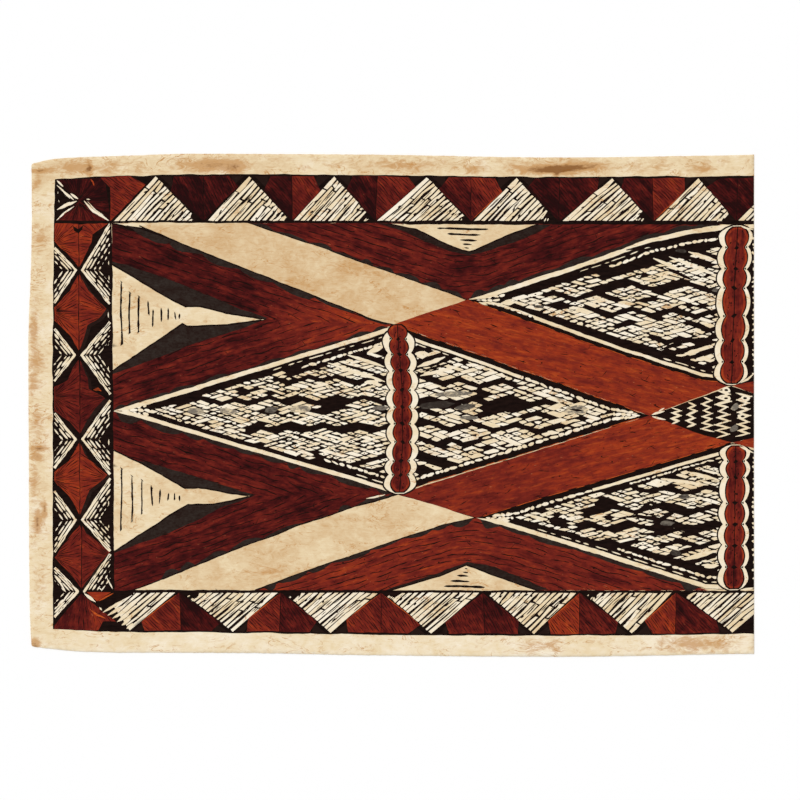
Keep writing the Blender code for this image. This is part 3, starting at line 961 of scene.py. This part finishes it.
def checker(art):
    """The small diamond at the right, with upright zigzags of bare cloth."""
    dice = art.dice
    art.patch([RIGHT_TIP] + at((404, 12), (438.6, 24.4), (CUT, 13.4), (CUT, -40.4), (439.9, -48.8),
        (404, -39)), SOOT, rough=0.3)
    for x, swing, top, bottom, runs in CHECKER_COLUMNS:
        way, turns = -1, []
        for index in range(runs + 1):
            y = top + (bottom - top) * (index + dice.uniform(-0.15, 0.15)) / runs
            turns.append(complex(x + way * swing * dice.uniform(0.65, 1.3), y))
            way = -way
        for start, end in zip(turns, turns[1:]):
            ahead = (end - start) * 0.12
            line = [start - ahead, (start + end) / 2, end + ahead]
            brush(art, line, dice.uniform(1.8, 3), BARK, tone=0.3)
    for place in at((432, 19), (432, 8.6), (457, 9.5), (453.6, -14)):
        art.spot(place, 12, 7.6, BARK, tone=0.25)
        art.spot(place, 5.5, 3, SOOT, points=7)
    touches(art, BARK, ((2.6, 336, -12.2, 344, -9.6, 352.5, -7.8), (2.6, 336.5, -14.2, 345, -17, 354, -19),
        (2.2, 345, -7.6, 352, -3.6)), tone=0.2)
    for place in at((444, -2), (442, -30)):
        art.spot(place, 12, 8, WASH, turn=40, tone=0.8)


def inner_lines(art):
    """The frame's inner line, painted last because every band starts at it."""
    art.stroke(at((FIELD_LEFT - 1.5, FIELD_TOP + 2), (FIELD_LEFT + 0.2, 0),
        (FIELD_LEFT + 1.2, FIELD_BOTTOM - 1.5)), 2.6, uneven=0.5)
    art.stroke(at((FIELD_LEFT - 2, FIELD_TOP + 1.4), (12, FIELD_TOP + 1), (24, FIELD_TOP - 0.6),
        (CUT, FIELD_TOP - 0.8)), 2.6, uneven=0.5)
    art.stroke(at((FIELD_LEFT + 20, FIELD_BOTTOM - 0.4), (CUT, FIELD_BOTTOM - 1.6)), 2.4, uneven=0.5)


def painted(sizes):
    """The whole design, in the order that it is painted."""
    art = Painting(sizes, sizes.seed)
    art.fill(sheet_outline(sizes), BARK, tone=margin_tone)
    frame_and_field(art)
    dyed_field(art)
    panels(art)
    orange_bands(art)
    lozenges(art)
    bead_columns(art)
    checker(art)
    # A short bare stroke lies beside the lower node, where the bands' outlines cross.
    brush(art, at((-32.4, -120.6), (-7.7, -114.8)), 2.2, BARK, tone=0.3)
    top_corner(art)
    border_row(art, FIELD_TOP + 1.2, FRAME_TOP, TOP_HATCHED, True)
    border_row(art, FIELD_BOTTOM - 1.4, FRAME_BOTTOM, BOTTOM_HATCHED, False)
    diamond_column(art)
    bottom_corner(art)
    inner_lines(art)
    return art


# The sheet

def margin_tone(points):
    """The top margin is the brownest, and the bottom one the palest."""
    top = np.clip((points.imag - 240) / 50, 0, 1)
    left = np.clip((-points.real - 420) / 20, 0, 1)
    return 0.3 + 0.2 * top + 0.1 * left * (1 - top)


def sheet_outline(sizes):
    """The edge of the sheet's solid, with the fine tears of trimmed bark, but not at the straight cut."""
    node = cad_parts[SHEET_NODE]
    high = max(vertex.co.z for vertex in node.data.vertices)
    corners = {complex(round(vertex.co.x / MILLIMETRE, 3), round(vertex.co.y / MILLIMETRE, 3))
        for vertex in node.data.vertices if vertex.co.z > high / 2}
    edge = sorted(corners, key=cmath.phase)
    cut = max(corner.real for corner in edge)
    depth, spacing, untorn = sizes.torn_depth / MILLIMETRE, 2.6, 3
    outline = []
    for point in walked(edge + edge[:1], spacing)[:-1]:
        if point.real < cut - untorn:
            inward = -point / abs(point)
            point += inward * depth * (0.5 + 0.5 * shake(point, 6, 1) + 0.4 * shake(point, 2.5, 4))
        outline.append(point)
    return outline


def inside_points(sizes, spacing, margin):
    """Points spread over the sheet, so that it can cockle and its stains can fade out."""
    dice, drift = random.Random(sizes.seed + 1), 0.3
    low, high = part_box(SHEET_NODE)
    low, high = low / MILLIMETRE, high / MILLIMETRE
    across_count, up_count = round((high.x - low.x) / spacing), round((high.y - low.y) / spacing)
    points = []
    for column in range(1, across_count):
        for row in range(1, up_count):
            x = low.x + (high.x - low.x) * column / across_count + dice.uniform(-drift, drift) * spacing
            y = low.y + (high.y - low.y) * row / up_count + dice.uniform(-drift, drift) * spacing
            if low.x + margin < x < high.x - margin and low.y + margin < y < high.y - margin:
                points.append(complex(x, y))
    return points


def cockle(point, sizes):
    """How far the sheet lifts off what it lies on, in millimetres."""
    long_wave = sizes.cockle_length / MILLIMETRE
    height = sizes.cockle_height / MILLIMETRE
    slow = shake(complex(point.real, point.imag * 1.6), long_wave, 7)
    fast = shake(point, long_wave / 3, 8)
    return height * max(0, 0.45 + 0.55 * slow + 0.2 * fast)


def net_of(outlines, loose_points):
    """The outlines and loose points as one flat net: its points, triangles and the outlines each is in."""
    points, faces = [], []
    for outline in outlines:
        faces.append(list(range(len(points), len(points) + len(outline))))
        points += outline
    points += loose_points
    flat = [Vector((point.real, point.imag)) for point in points]
    # Kind 2 also gives the triangles between the outlines, and the last setting asks where each came from.
    kind, tolerance, with_sources = 2, 1e-4, True
    made = delaunay_2d_cdt(flat, [], faces, kind, tolerance, with_sources)
    return [complex(*point) for point in made[0]], made[2], made[5]


def check_spread(art, points, triangles, painters):
    """Stops if a mark was painted past its own outline, which happens when an outline crosses itself."""
    covered = [0] * len(art.outlines)
    for (first, second, third), painter in zip(triangles, painters):
        corner = points[first]
        area = abs(((points[second] - corner).conjugate() * (points[third] - corner)).imag) / 2
        for mark in painter:
            covered[mark] += area
    for mark, outline in enumerate(art.outlines):
        allowed = area_of(outline) * 1.5 + 40
        if covered[mark] > allowed:
            raise RuntimeError(f"Mark {mark} near {outline[0]} spread past its outline")


def loop_round(triangles):
    """The points of the net's outer edge, in order, with the net to its left."""
    ahead = dict.fromkeys(side for triangle in triangles for side in zip(triangle,
        triangle[1:] + triangle[:1]))
    following = {start: end for start, end in ahead if (end, start) not in ahead}
    first = next(iter(following))
    loop = [first]
    while following[loop[-1]] != first:
        loop.append(following[loop[-1]])
    if len(loop) != len(following):
        raise RuntimeError("The sheet's edge is not one loop")
    return loop


def hand_wobble(point, sizes):
    """Where a point goes when the whole design takes on the hand's small drift."""
    amount, tremble_share = sizes.hand_wobble / MILLIMETRE, 0.38
    drift = complex(shake(point, 34, 21), shake(point, 34, 22))
    tremble = complex(shake(point, 6.5, 23), shake(point, 6.5, 24))
    return point + drift * amount + tremble * amount * tremble_share


def painted_top(art, sizes):
    """The painted net inside the sheet's outline: its points, its triangles and the mark on each."""
    coarse, fine, edge_margin = 11, 4.4, 3
    loose = inside_points(sizes, coarse, edge_margin)
    # The margins' stains are small, so the net is finer there.
    loose += [point for point in inside_points(sizes, fine, edge_margin) if point.real < -437
        or not FRAME_BOTTOM[0][1] - 6 < point.imag < FRAME_TOP[3][1]]
    points, triangles, painters = net_of(art.outlines, loose)
    check_spread(art, points, triangles, painters)
    kept = [(face, max(painter)) for face, painter in zip(triangles, painters) if 0 in painter]
    used = sorted({index for face, _ in kept for index in face})
    renumbered = {index: order for order, index in enumerate(used)}
    top = [tuple(renumbered[index] for index in face) for face, _ in kept]
    return [points[index] for index in used], top, [mark for _, mark in kept]


def underside(ring, first_number, next_number, sizes):
    """A coarse net inside the sheet's lower edge, whose points have numbers from first_number on. Gives the
    net's own new points, numbered from next_number on, and its triangles, which face down."""
    spacing, edge_margin, same_place = 16, 20, 0.01
    points, triangles, within = net_of([ring], inside_points(sizes, spacing, edge_margin))
    known = {point: first_number + order for order, point in enumerate(ring)}
    added, numbers = [], []
    for point in points:
        near = point if point in known else min(known, key=lambda other: abs(other - point))
        if abs(near - point) < same_place:
            numbers.append(known[near])
        else:
            numbers.append(next_number + len(added))
            added.append(point)
    return added, [tuple(numbers[index] for index in reversed(face))
        for face, outlines in zip(triangles, within) if outlines]


def sheet_mesh(art, sizes):
    """The closed sheet: the painted top, a rounded edge and a plain underside."""
    thickness = sizes.thickness / MILLIMETRE
    edge_drop, bulge, bulge_height = 0.3, 0.2, 0.45 * thickness
    points, top, marks = painted_top(art, sizes)
    loop = loop_round(top)
    on_edge = set(loop)
    spots = [point if index in on_edge else hand_wobble(point, sizes) for index, point in enumerate(points)]
    heights = [thickness - edge_drop * (index in on_edge) + cockle(spot, sizes)
        for index, spot in enumerate(spots)]
    ring = [points[index] for index in loop]
    middle_ring = len(spots)
    spots += [point - side * bulge for point, side in zip(ring, across(ring))]
    heights += [bulge_height + cockle(point, sizes) for point in ring]
    low_ring = len(spots)
    added, under = underside(ring, low_ring, low_ring + len(ring), sizes)
    spots += ring + added
    heights += [cockle(point, sizes) for point in ring + added]
    walls = []
    for order, a in enumerate(loop):
        after = (order + 1) % len(loop)
        b, c, d = loop[after], middle_ring + order, middle_ring + after
        e, f = low_ring + order, low_ring + after
        walls += [(a, c, d), (a, d, b), (c, e, f), (c, f, d)]
    mesh = bpy.data.meshes.new("painted_bark_cloth")
    corners = [(spot.real * MILLIMETRE, spot.imag * MILLIMETRE, height * MILLIMETRE)
        for spot, height in zip(spots, heights)]
    mesh.from_pydata(corners, [], top + walls + under)
    # The edge and the underside are plain bark, as the first mark is.
    marks += [0] * (len(walls) + len(under))
    paint_attributes(mesh, art, np.array(marks), np.array(spots))
    return mesh


# Stained places: middle, half width and half height in millimetres, strength
STAINS = ((0, 312, 480, 14, 0.3), (-458, 0, 16, 330, 0.3), (0, -312, 480, 10, 0.1), (222, 304, 52, 9, 0.6),
    (210, 303.5, 22, 3.2, 1.2), (236, 307, 18, 3, 1), (214, 299, 3, 7, 0.9), (262, 309, 14, 4, 0.6),
    (180, 304, 30, 5, 0.5), (-405, 306, 26, 10, 0.7), (-389, 303, 3, 9, 1.2), (-362, 306, 12, 9, 0.5),
    (-452, 302, 16, 2.5, 1.1), (-457, 288, 6, 6, 0.8), (-232, 309, 38, 10, 0.8), (-200, 305, 12, 8, 0.6),
    (-330, 306, 16, 8, 0.4), (20, 308, 32, 8, 0.4), (105, 303, 12, 7, 0.6), (330, 306, 24, 8, 0.3),
    (405, 308, 14, 10, 0.5), (-460, -308, 8, 7, 1), (190, -309, 34, 10, 0.5), (395, -308, 62, 12, 0.7),
    (-450, 215, 12, 16, 0.5), (-461, 98, 5, 24, 0.7), (-456, 56, 8, 14, 0.5), (-462, 28, 5, 16, 0.6),
    (-455, -22, 10, 12, 0.4), (-452, -56, 13, 3.5, 1), (-457, -66, 8, 3.5, 0.9), (-461, -100, 5, 20, 0.4),
    (-447, -134, 3.5, 14, 1), (-456, -152, 4, 16, 1), (-450, -230, 10, 30, 0.3), (-30, 178, 60, 16, 0.4),
    (-250, 226, 50, 9, 0.3), (-120, 196, 40, 10, 0.3), (-150, -216, 60, 12, 0.4), (20, -160, 50, 12, 0.3),
    (-320, 90, 20, 30, 0.2))


def paint_attributes(mesh, art, marks, spots):
    """Which pigment each triangle has, how deep its dye is, and how its streaks run."""
    pigments = np.array([pigment for pigment, _, _ in art.marks])
    mesh.polygons.foreach_set("material_index", pigments[marks].astype(np.int32))
    corner_points = np.empty(len(mesh.loops), dtype=np.int32)
    mesh.loops.foreach_get("vertex_index", corner_points)
    corner_marks = np.repeat(marks, 3)
    places = spots[corner_points]
    fixed_tones = np.array([0 if callable(tone) else tone for _, tone, _ in art.marks])
    tones = fixed_tones[corner_marks]
    grain = places.copy()
    for mark, (_, tone, run) in enumerate(art.marks):
        if not callable(tone) and run is None:
            continue
        here = corner_marks == mark
        if callable(tone):
            tones[here] = tone(places[here])
        if run is not None:
            grain[here] = run[0](places[here])
    streaks = mesh.uv_layers.new(name="streaks")
    streaks.data.foreach_set("uv", np.column_stack([grain.real, grain.imag]).ravel() * MILLIMETRE)
    layer = mesh.attributes.new("tone", "FLOAT", "CORNER")
    layer.data.foreach_set("value", tones.astype(np.float32))
    stained = np.zeros(len(spots))
    for x, y, wide, high, strength in STAINS:
        away = ((spots.real - x) / wide) ** 2 + ((spots.imag - y) / high) ** 2
        stained += strength * np.exp(-away)
    layer = mesh.attributes.new("stained", "FLOAT", "POINT")
    layer.data.foreach_set("value", stained.astype(np.float32))
    mesh.polygons.foreach_set("use_smooth", [True] * len(mesh.polygons))
    mesh.update()


# Materials

def linear(hex_colour):
    """An sRGB hex colour as Blender's linear red, green, blue and alpha."""
    def to_linear(value):
        return value / 12.92 if value <= 0.04045 else ((value + 0.055) / 1.055) ** 2.4
    parts = [int(hex_colour[start:start + 2], 16) / 255 for start in (1, 3, 5)]
    return tuple(to_linear(part) for part in parts) + (1,)


def add_node(tree, kind, inputs=(), output=0, stops=(), **settings):
    """A node with its settings. Each input is a value or another node's output. Gives one output."""
    node = tree.nodes.new("ShaderNode" + kind)
    for name, value in settings.items():
        setattr(node, name, value)
    for order, (place, colour) in enumerate(stops):
        elements = node.color_ramp.elements
        element = elements[order] if order < 2 else elements.new(place)
        element.position, element.color = place, tuple(colour)
    for name, item in inputs.items() if isinstance(inputs, dict) else enumerate(inputs):
        if isinstance(item, bpy.types.NodeSocket):
            tree.links.new(item, node.inputs[name])
        else:
            node.inputs[name].default_value = item
    return node.outputs[output]


def new_material(name, roughness, specular):
    """A material with no pattern yet, its node tree, its shader and the place on the object."""
    material = bpy.data.materials.new(name)
    material.use_nodes = True
    shader = material.node_tree.nodes["Principled BSDF"]
    for socket, value in (("Roughness", roughness), ("Specular IOR Level", specular), ("IOR", 1.5),
            ("Metallic", 0)):
        shader.inputs[socket].default_value = value
    tree = material.node_tree
    return material, tree, shader, add_node(tree, "TexCoord", output="Object")


def mottle(tree, place, along, high, detail=3, rough=0.6, bend=0):
    """A cloudy pattern from 0 to 1 whose clouds have these sizes in millimetres."""
    scale = (1 / (along * MILLIMETRE), 1 / (high * MILLIMETRE), 1)
    stretched = add_node(tree, "Mapping", {"Vector": place, "Scale": scale})
    return add_node(tree, "TexNoise", {"Vector": stretched, "Scale": 1, "Detail": detail,
        "Roughness": rough, "Distortion": bend})


def shifted(tree, *parts):
    """The mark's tone moved up and down by patterns, each with how far it moves it."""
    tone = add_node(tree, "Attribute", output="Fac", attribute_name="tone")
    for pattern, amount in parts:
        tone = add_node(tree, "Math", (pattern, amount, tone), operation="MULTIPLY_ADD")
    return add_node(tree, "Math", (tone, sum(amount for _, amount in parts) / 2), operation="SUBTRACT",
        use_clamp=True)


def laid_over(tree, colour, over, *amounts):
    """A colour with another one laid over it, by the product of the amounts. An amount that is a tuple is
    a value, the limit from which it counts, and how steeply it then rises to 1."""
    share = None
    for amount in amounts:
        if isinstance(amount, tuple):
            value, limit, steep = amount
            amount = add_node(tree, "Math", (value, steep, -limit * steep), operation="MULTIPLY_ADD",
                use_clamp=True)
        if share is not None:
            amount = add_node(tree, "Math", (share, amount), operation="MULTIPLY", use_clamp=True)
        share = amount
    # In the Mix node's colour mode, socket 0 is the factor, 6 and 7 are the colours and 2 is the result.
    return add_node(tree, "Mix", {0: share, 6: colour, 7: tuple(over)}, 2, data_type="RGBA")


def veins(tree, pattern, width):
    """Thin lines where a pattern passes its middle."""
    away = add_node(tree, "Math", (pattern, 0.5), operation="SUBTRACT")
    away = add_node(tree, "Math", (away,), operation="ABSOLUTE")
    return add_node(tree, "Math", (away, -1 / width, 1), operation="MULTIPLY_ADD", use_clamp=True)


def finished(tree, shader, colour, height, depth):
    """Joins the colour and the fine relief, whose depth is in metres, to the shader."""
    tree.links.new(colour, shader.inputs["Base Color"])
    tree.links.new(add_node(tree, "Bump", {"Height": height, "Strength": 0.6, "Distance": depth}),
        shader.inputs["Normal"])


def bark_material(colours):
    """Paper mulberry bast, soaked, beaten out with a grooved beater and dried: matt cream with tan
    mottling where the felt is thin, fine fibres, faint ribs from the beater, and old brown water stains."""
    material, tree, shader, place = new_material("beaten_mulberry_bark", 0.95, 0.05)
    fibre = mottle(tree, place, 11, 1.4)
    tone = shifted(tree, (mottle(tree, place, 70, 44, 4, 0.6, 0.5), 0.9),
        (mottle(tree, place, 13, 9, 4, 0.7, 0.8), 0.75), (fibre, 0.3))
    colour = add_node(tree, "ValToRGB", {"Fac": tone}, stops=((0, colours.bark_pale), (1, colours.bark_tan),
        (0.45, colours.bark)))
    # The thin brown lines are where bast fibres cross in the felt.
    thin = veins(tree, mottle(tree, place, 34, 16, 3, 0.6, 1.2), 0.02)
    colour = laid_over(tree, colour, colours.stain, thin, (mottle(tree, place, 40, 22, 2), 0.47, 7), 0.9)
    # Old water left brown stains with drawn-out edges, and the strongest ones are dark in the middle.
    stained = add_node(tree, "Attribute", output="Fac", attribute_name="stained")
    cloud = mottle(tree, place, 20, 9, 7, 0.74, 1.4)
    spread = add_node(tree, "Math", (stained, 0.42, cloud), operation="MULTIPLY_ADD")
    colour = laid_over(tree, colour, colours.stain, (spread, 0.6, 5), 0.72)
    grit = mottle(tree, place, 8, 3, 5, 0.75, 0.5)
    gritty = add_node(tree, "Math", (grit, 0.2), operation="ADD")
    deep = add_node(tree, "Math", (stained, gritty), operation="MULTIPLY", use_clamp=True)
    colour = laid_over(tree, colour, colours.dark_stain, (deep, 0.62, 3), 0.8)
    flecks = mottle(tree, place, 3.4, 2, 2, 0.5)
    colour = laid_over(tree, colour, colours.stain, (flecks, 0.7, 12), 0.55)
    # The beater's grooves are about 1.6 mm apart, too fine and shallow to show much in the render.
    ribs = mottle(tree, place, 40, 1.6, 1)
    finished(tree, shader, colour, add_node(tree, "Math", (ribs, 0.5, fibre), operation="MULTIPLY_ADD"),
        0.00012)
    return material


def soot_material(colours):
    """Soot in plant gum, brushed on thick: matt near-black, a little brown where it is thin."""
    material, tree, shader, place = new_material("soot_pigment", 0.9, 0.03)
    colour = add_node(tree, "ValToRGB", {"Fac": mottle(tree, place, 12, 3.5, 4)},
        stops=((0.35, colours.soot), (0.78, colours.thin_soot)))
    finished(tree, shader, colour, mottle(tree, place, 6, 1.2), 0.00005)
    return material


def wash_material(colours):
    """The same soot thinned with water: a dull grey-brown wash that lets the bark's fibres show."""
    material, tree, shader, place = new_material("charcoal_wash", 0.9, 0.04)
    fibre = mottle(tree, place, 6, 1.6)
    value = shifted(tree, (mottle(tree, place, 14, 9, 4), 0.5),
        (mottle(tree, place, 3.6, 2.6, 3, 0.7), 0.4), (fibre, 0.3))
    colour = add_node(tree, "ValToRGB", {"Fac": value}, stops=((0.3, colours.thin_soot), (1, colours.bark),
        (0.6, colours.wash), (0.85, colours.pale_wash)))
    finished(tree, shader, colour, fibre, 0.00006)
    return material


def dye_material(colours):
    """Bark juice and red earth rubbed on in coats: from orange to dark maroon, in streaks that follow the
    brush, with dark dots where it pooled and pale specks where it has rubbed off."""
    material, tree, shader, place = new_material("bark_dye", 0.88, 0.05)
    streaks = add_node(tree, "UVMap", uv_map="streaks")
    fine = mottle(tree, streaks, 12, 3.4, 4, 0.65)
    tone = shifted(tree, (mottle(tree, streaks, 60, 11, 4, 0.6, 0.5), 0.85), (fine, 0.6),
        (mottle(tree, place, 16, 11), 0.5))
    colour = add_node(tree, "ValToRGB", {"Fac": tone}, stops=((0, colours.dye_black),
        (1, colours.dye_orange), (0.2, colours.dye_maroon), (0.45, colours.dye_red),
        (0.7, colours.dye_rust)))
    dots = mottle(tree, streaks, 4.2, 2.6, 1)
    colour = laid_over(tree, colour, colours.crack, (dots, 0.68, 14), 0.75)
    # One thin coat of red earth shows each pass of the brush.
    for passes, over in ((mottle(tree, streaks, 34, 3.6, 4, 0.7), colours.dye_orange),
            (mottle(tree, streaks, 22, 2.8, 3, 0.7, 0.6), colours.dye_maroon)):
        colour = laid_over(tree, colour, over, (passes, 0.53, 7), tone, (tone, 0.3, 3), 0.9)
    light = mottle(tree, streaks, 7, 2.2, 2)
    colour = laid_over(tree, colour, colours.dye_worn, (light, 0.69, 14), tone, 0.9)
    finished(tree, shader, colour, fine, 0.00008)
    return material


# Properties

def colour_property(name, description, default):
    return bpy.props.FloatVectorProperty(name=name, description=description, subtype="COLOR", size=4,
        min=0.0, max=1.0, default=linear(default))


def length_property(name, description, default, smallest, largest):
    return bpy.props.FloatProperty(name=name, description=description, unit="LENGTH", precision=5,
        default=default, min=smallest, max=largest)


class BarkClothSizes(bpy.types.PropertyGroup):
    """Sizes of the sheet and of its brush marks."""

    thickness: length_property("Thickness", "Thickness of the two-ply sheet", 0.0012, 0.0005, 0.003)
    cockle_height: length_property("Cockle height", "How far the sheet lifts where it cockles", 0.0009, 0.0,
        0.003)
    cockle_length: length_property("Cockle length", "Size of one slow cockle", 0.14, 0.05, 0.5)
    torn_depth: length_property("Torn depth", "Depth of the fine tears along the edge", 0.0007, 0.0, 0.003)
    hand_wobble: length_property("Hand wobble", "How far painted lines drift from straight", 0.001, 0.0,
        0.003)
    hatch_pitch: length_property("Hatch pitch", "Distance between the border's stripes", 0.0054, 0.004,
        0.012)
    hatch_line: length_property("Hatch line", "Width of the black line between stripes", 0.0019, 0.0005,
        0.005)
    grout_width: length_property("Grout width", "Width of the black line between bricks", 0.0011, 0.0005,
        0.003)
    joined_bricks: bpy.props.FloatProperty(name="Joined bricks",
        description="Share of bricks that take in a neighbour", subtype="FACTOR", default=0.26, min=0.0,
        max=1.0)
    seed: bpy.props.IntProperty(name="Seed", description="Start of the hand's chance", default=11, min=0)


class BarkClothColours(bpy.types.PropertyGroup):
    """Colours of the bark and of its pigments."""

    bark_pale: colour_property("Pale bark", "Thickest, palest bark", "#F8EDD8")
    bark: colour_property("Bark", "Bark as most of the sheet shows it", "#E9D4AE")
    bark_tan: colour_property("Tan bark", "Thin or handled bark", "#C99F6C")
    stain: colour_property("Stain", "Old water stain", "#BF8748")
    dark_stain: colour_property("Dark stain", "Middle of the strongest stain", "#7C4A1C")
    soot: colour_property("Soot", "Thick soot paint", "#120A08")
    thin_soot: colour_property("Thin soot", "Soot paint where it is thin", "#241612")
    wash: colour_property("Wash", "Charcoal wash", "#37302B")
    pale_wash: colour_property("Pale wash", "Charcoal wash where it is thinnest", "#7D7468")
    dye_black: colour_property("Darkest dye", "Many coats of bark dye", "#260A0B")
    dye_maroon: colour_property("Maroon dye", "Several coats of bark dye", "#4A1312")
    dye_red: colour_property("Red dye", "Red-brown bark dye", "#74241A")
    dye_rust: colour_property("Rust dye", "Rust-coloured bark dye", "#97341A")
    dye_orange: colour_property("Orange dye", "One coat of red earth", "#BC5422")
    dye_worn: colour_property("Worn dye", "Specks where the dye has rubbed off", "#C98A5C")
    crack: colour_property("Crack", "Cracks in the dye's film", "#1D0B0A")


class BarkClothStage(bpy.types.PropertyGroup):
    """The floor, the light and the camera."""

    floor: colour_property("Floor", "Plain pale floor", "#FCFCFC")
    floor_size: length_property("Floor size", "Side of the square floor", 6.0, 1.0, 20.0)
    camera_x: length_property("Camera X", "Camera's place along the sheet", 0.0116, -1.0, 1.0)
    camera_y: length_property("Camera Y", "Camera's place across the sheet", 0.0067, -1.0, 1.0)
    view_width: length_property("View width", "Width that the camera sees on the floor", 1.032, 0.1, 5.0)
    lens: bpy.props.FloatProperty(name="Lens", description="Focal length of the camera, in millimetres",
        default=100.0, min=20.0, max=300.0)
    sky: bpy.props.FloatProperty(name="Sky", description="Strength of the even light all round",
        default=0.62, min=0.0)
    lamp: bpy.props.FloatProperty(name="Lamp", description="Strength of the soft lamp", default=1.6,
        min=0.0)


class BARKCLOTH_OT_sheet(bpy.types.Operator):
    """Make the painted bark cloth in place of its plain solid"""

    bl_idname = "barkcloth.sheet"
    bl_label = "Painted sheet"

    def execute(self, context):
        sizes, colours = context.scene.bark_cloth_sizes, context.scene.bark_cloth_colours
        art = painted(sizes)
        mesh = sheet_mesh(art, sizes)
        for make in (bark_material, soot_material, wash_material, dye_material):
            mesh.materials.append(make(colours))
        sheet = bpy.data.objects.new("painted_bark_cloth", mesh)
        context.scene.collection.objects.link(sheet)
        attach(sheet, "root")
        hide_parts(SHEET_NODE)
        return {"FINISHED"}


class BARKCLOTH_OT_stage(bpy.types.Operator):
    """Make the floor, the soft light and the camera above the sheet"""

    bl_idname = "barkcloth.stage"
    bl_label = "Stage"

    def execute(self, context):
        stage = context.scene.bark_cloth_stage
        bpy.ops.object.select_all(action="DESELECT")
        bpy.ops.mesh.primitive_plane_add(size=stage.floor_size, location=(0.0, 0.0, 0.0))
        floor = context.object
        floor.name = "floor"
        # The floor is matt white board, very slightly uneven.
        material, tree, shader, place = new_material("matt_white_board", 0.9, 0.1)
        grain = mottle(tree, place, 60.0, 60.0, 2.0)
        darker = tuple(value * 0.995 for value in stage.floor)
        colour = add_node(tree, "ValToRGB", {"Fac": grain}, stops=((0.0, stage.floor), (1.0, darker)))
        tree.links.new(colour, shader.inputs["Base Color"])
        floor.data.materials.append(material)
        scene = context.scene
        world = bpy.data.worlds.new("even_sky")
        world.use_nodes = True
        background = world.node_tree.nodes["Background"]
        background.inputs["Color"].default_value = (1.0, 1.0, 1.0, 1.0)
        background.inputs["Strength"].default_value = stage.sky
        scene.world = world
        # A large lamp far away lights the whole sheet evenly, as the photo's light does.
        lamp_data = bpy.data.lights.new("soft_lamp", "SUN")
        lamp_data.angle = math.radians(30.0)
        lamp_data.energy = stage.lamp
        lamp = bpy.data.objects.new("soft_lamp", lamp_data)
        lamp.location = (-1.2, 1.3, 2.4)
        lamp.rotation_euler = (-lamp.location).to_track_quat("-Z", "Y").to_euler()
        scene.collection.objects.link(lamp)
        camera_data = bpy.data.cameras.new("camera")
        camera_data.lens = stage.lens
        camera_data.sensor_width = 36.0
        camera = bpy.data.objects.new("camera", camera_data)
        height = stage.view_width * stage.lens / camera_data.sensor_width
        camera.location = (stage.camera_x, stage.camera_y, height)
        scene.collection.objects.link(camera)
        scene.camera = camera
        scene.view_settings.view_transform = "Standard"
        return {"FINISHED"}


class BARKCLOTH_PT_panel(bpy.types.Panel):
    """The bark cloth's sizes, colours and pieces"""

    bl_label = "Painted bark cloth"
    bl_idname = "BARKCLOTH_PT_panel"
    bl_space_type = "VIEW_3D"
    bl_region_type = "UI"
    bl_category = "Bark cloth"

    def draw(self, context):
        scene = context.scene
        for group in (scene.bark_cloth_sizes, scene.bark_cloth_colours, scene.bark_cloth_stage):
            box = self.layout.box()
            for name in group.bl_rna.properties.keys():
                if name not in ("rna_type", "name"):
                    box.prop(group, name)
        for operator in (BARKCLOTH_OT_sheet, BARKCLOTH_OT_stage):
            self.layout.operator(operator.bl_idname)


CLASSES = (BarkClothSizes, BarkClothColours, BarkClothStage, BARKCLOTH_OT_sheet, BARKCLOTH_OT_stage,
    BARKCLOTH_PT_panel)


def register():
    for item in CLASSES:
        bpy.utils.register_class(item)
    bpy.types.Scene.bark_cloth_sizes = bpy.props.PointerProperty(type=BarkClothSizes)
    bpy.types.Scene.bark_cloth_colours = bpy.props.PointerProperty(type=BarkClothColours)
    bpy.types.Scene.bark_cloth_stage = bpy.props.PointerProperty(type=BarkClothStage)


def unregister():
    del bpy.types.Scene.bark_cloth_stage
    del bpy.types.Scene.bark_cloth_colours
    del bpy.types.Scene.bark_cloth_sizes
    for item in reversed(CLASSES):
        bpy.utils.unregister_class(item)


def main():
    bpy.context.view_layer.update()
    register()
    bpy.ops.barkcloth.sheet()
    bpy.ops.barkcloth.stage()


if __name__ == "__main__":
    main()
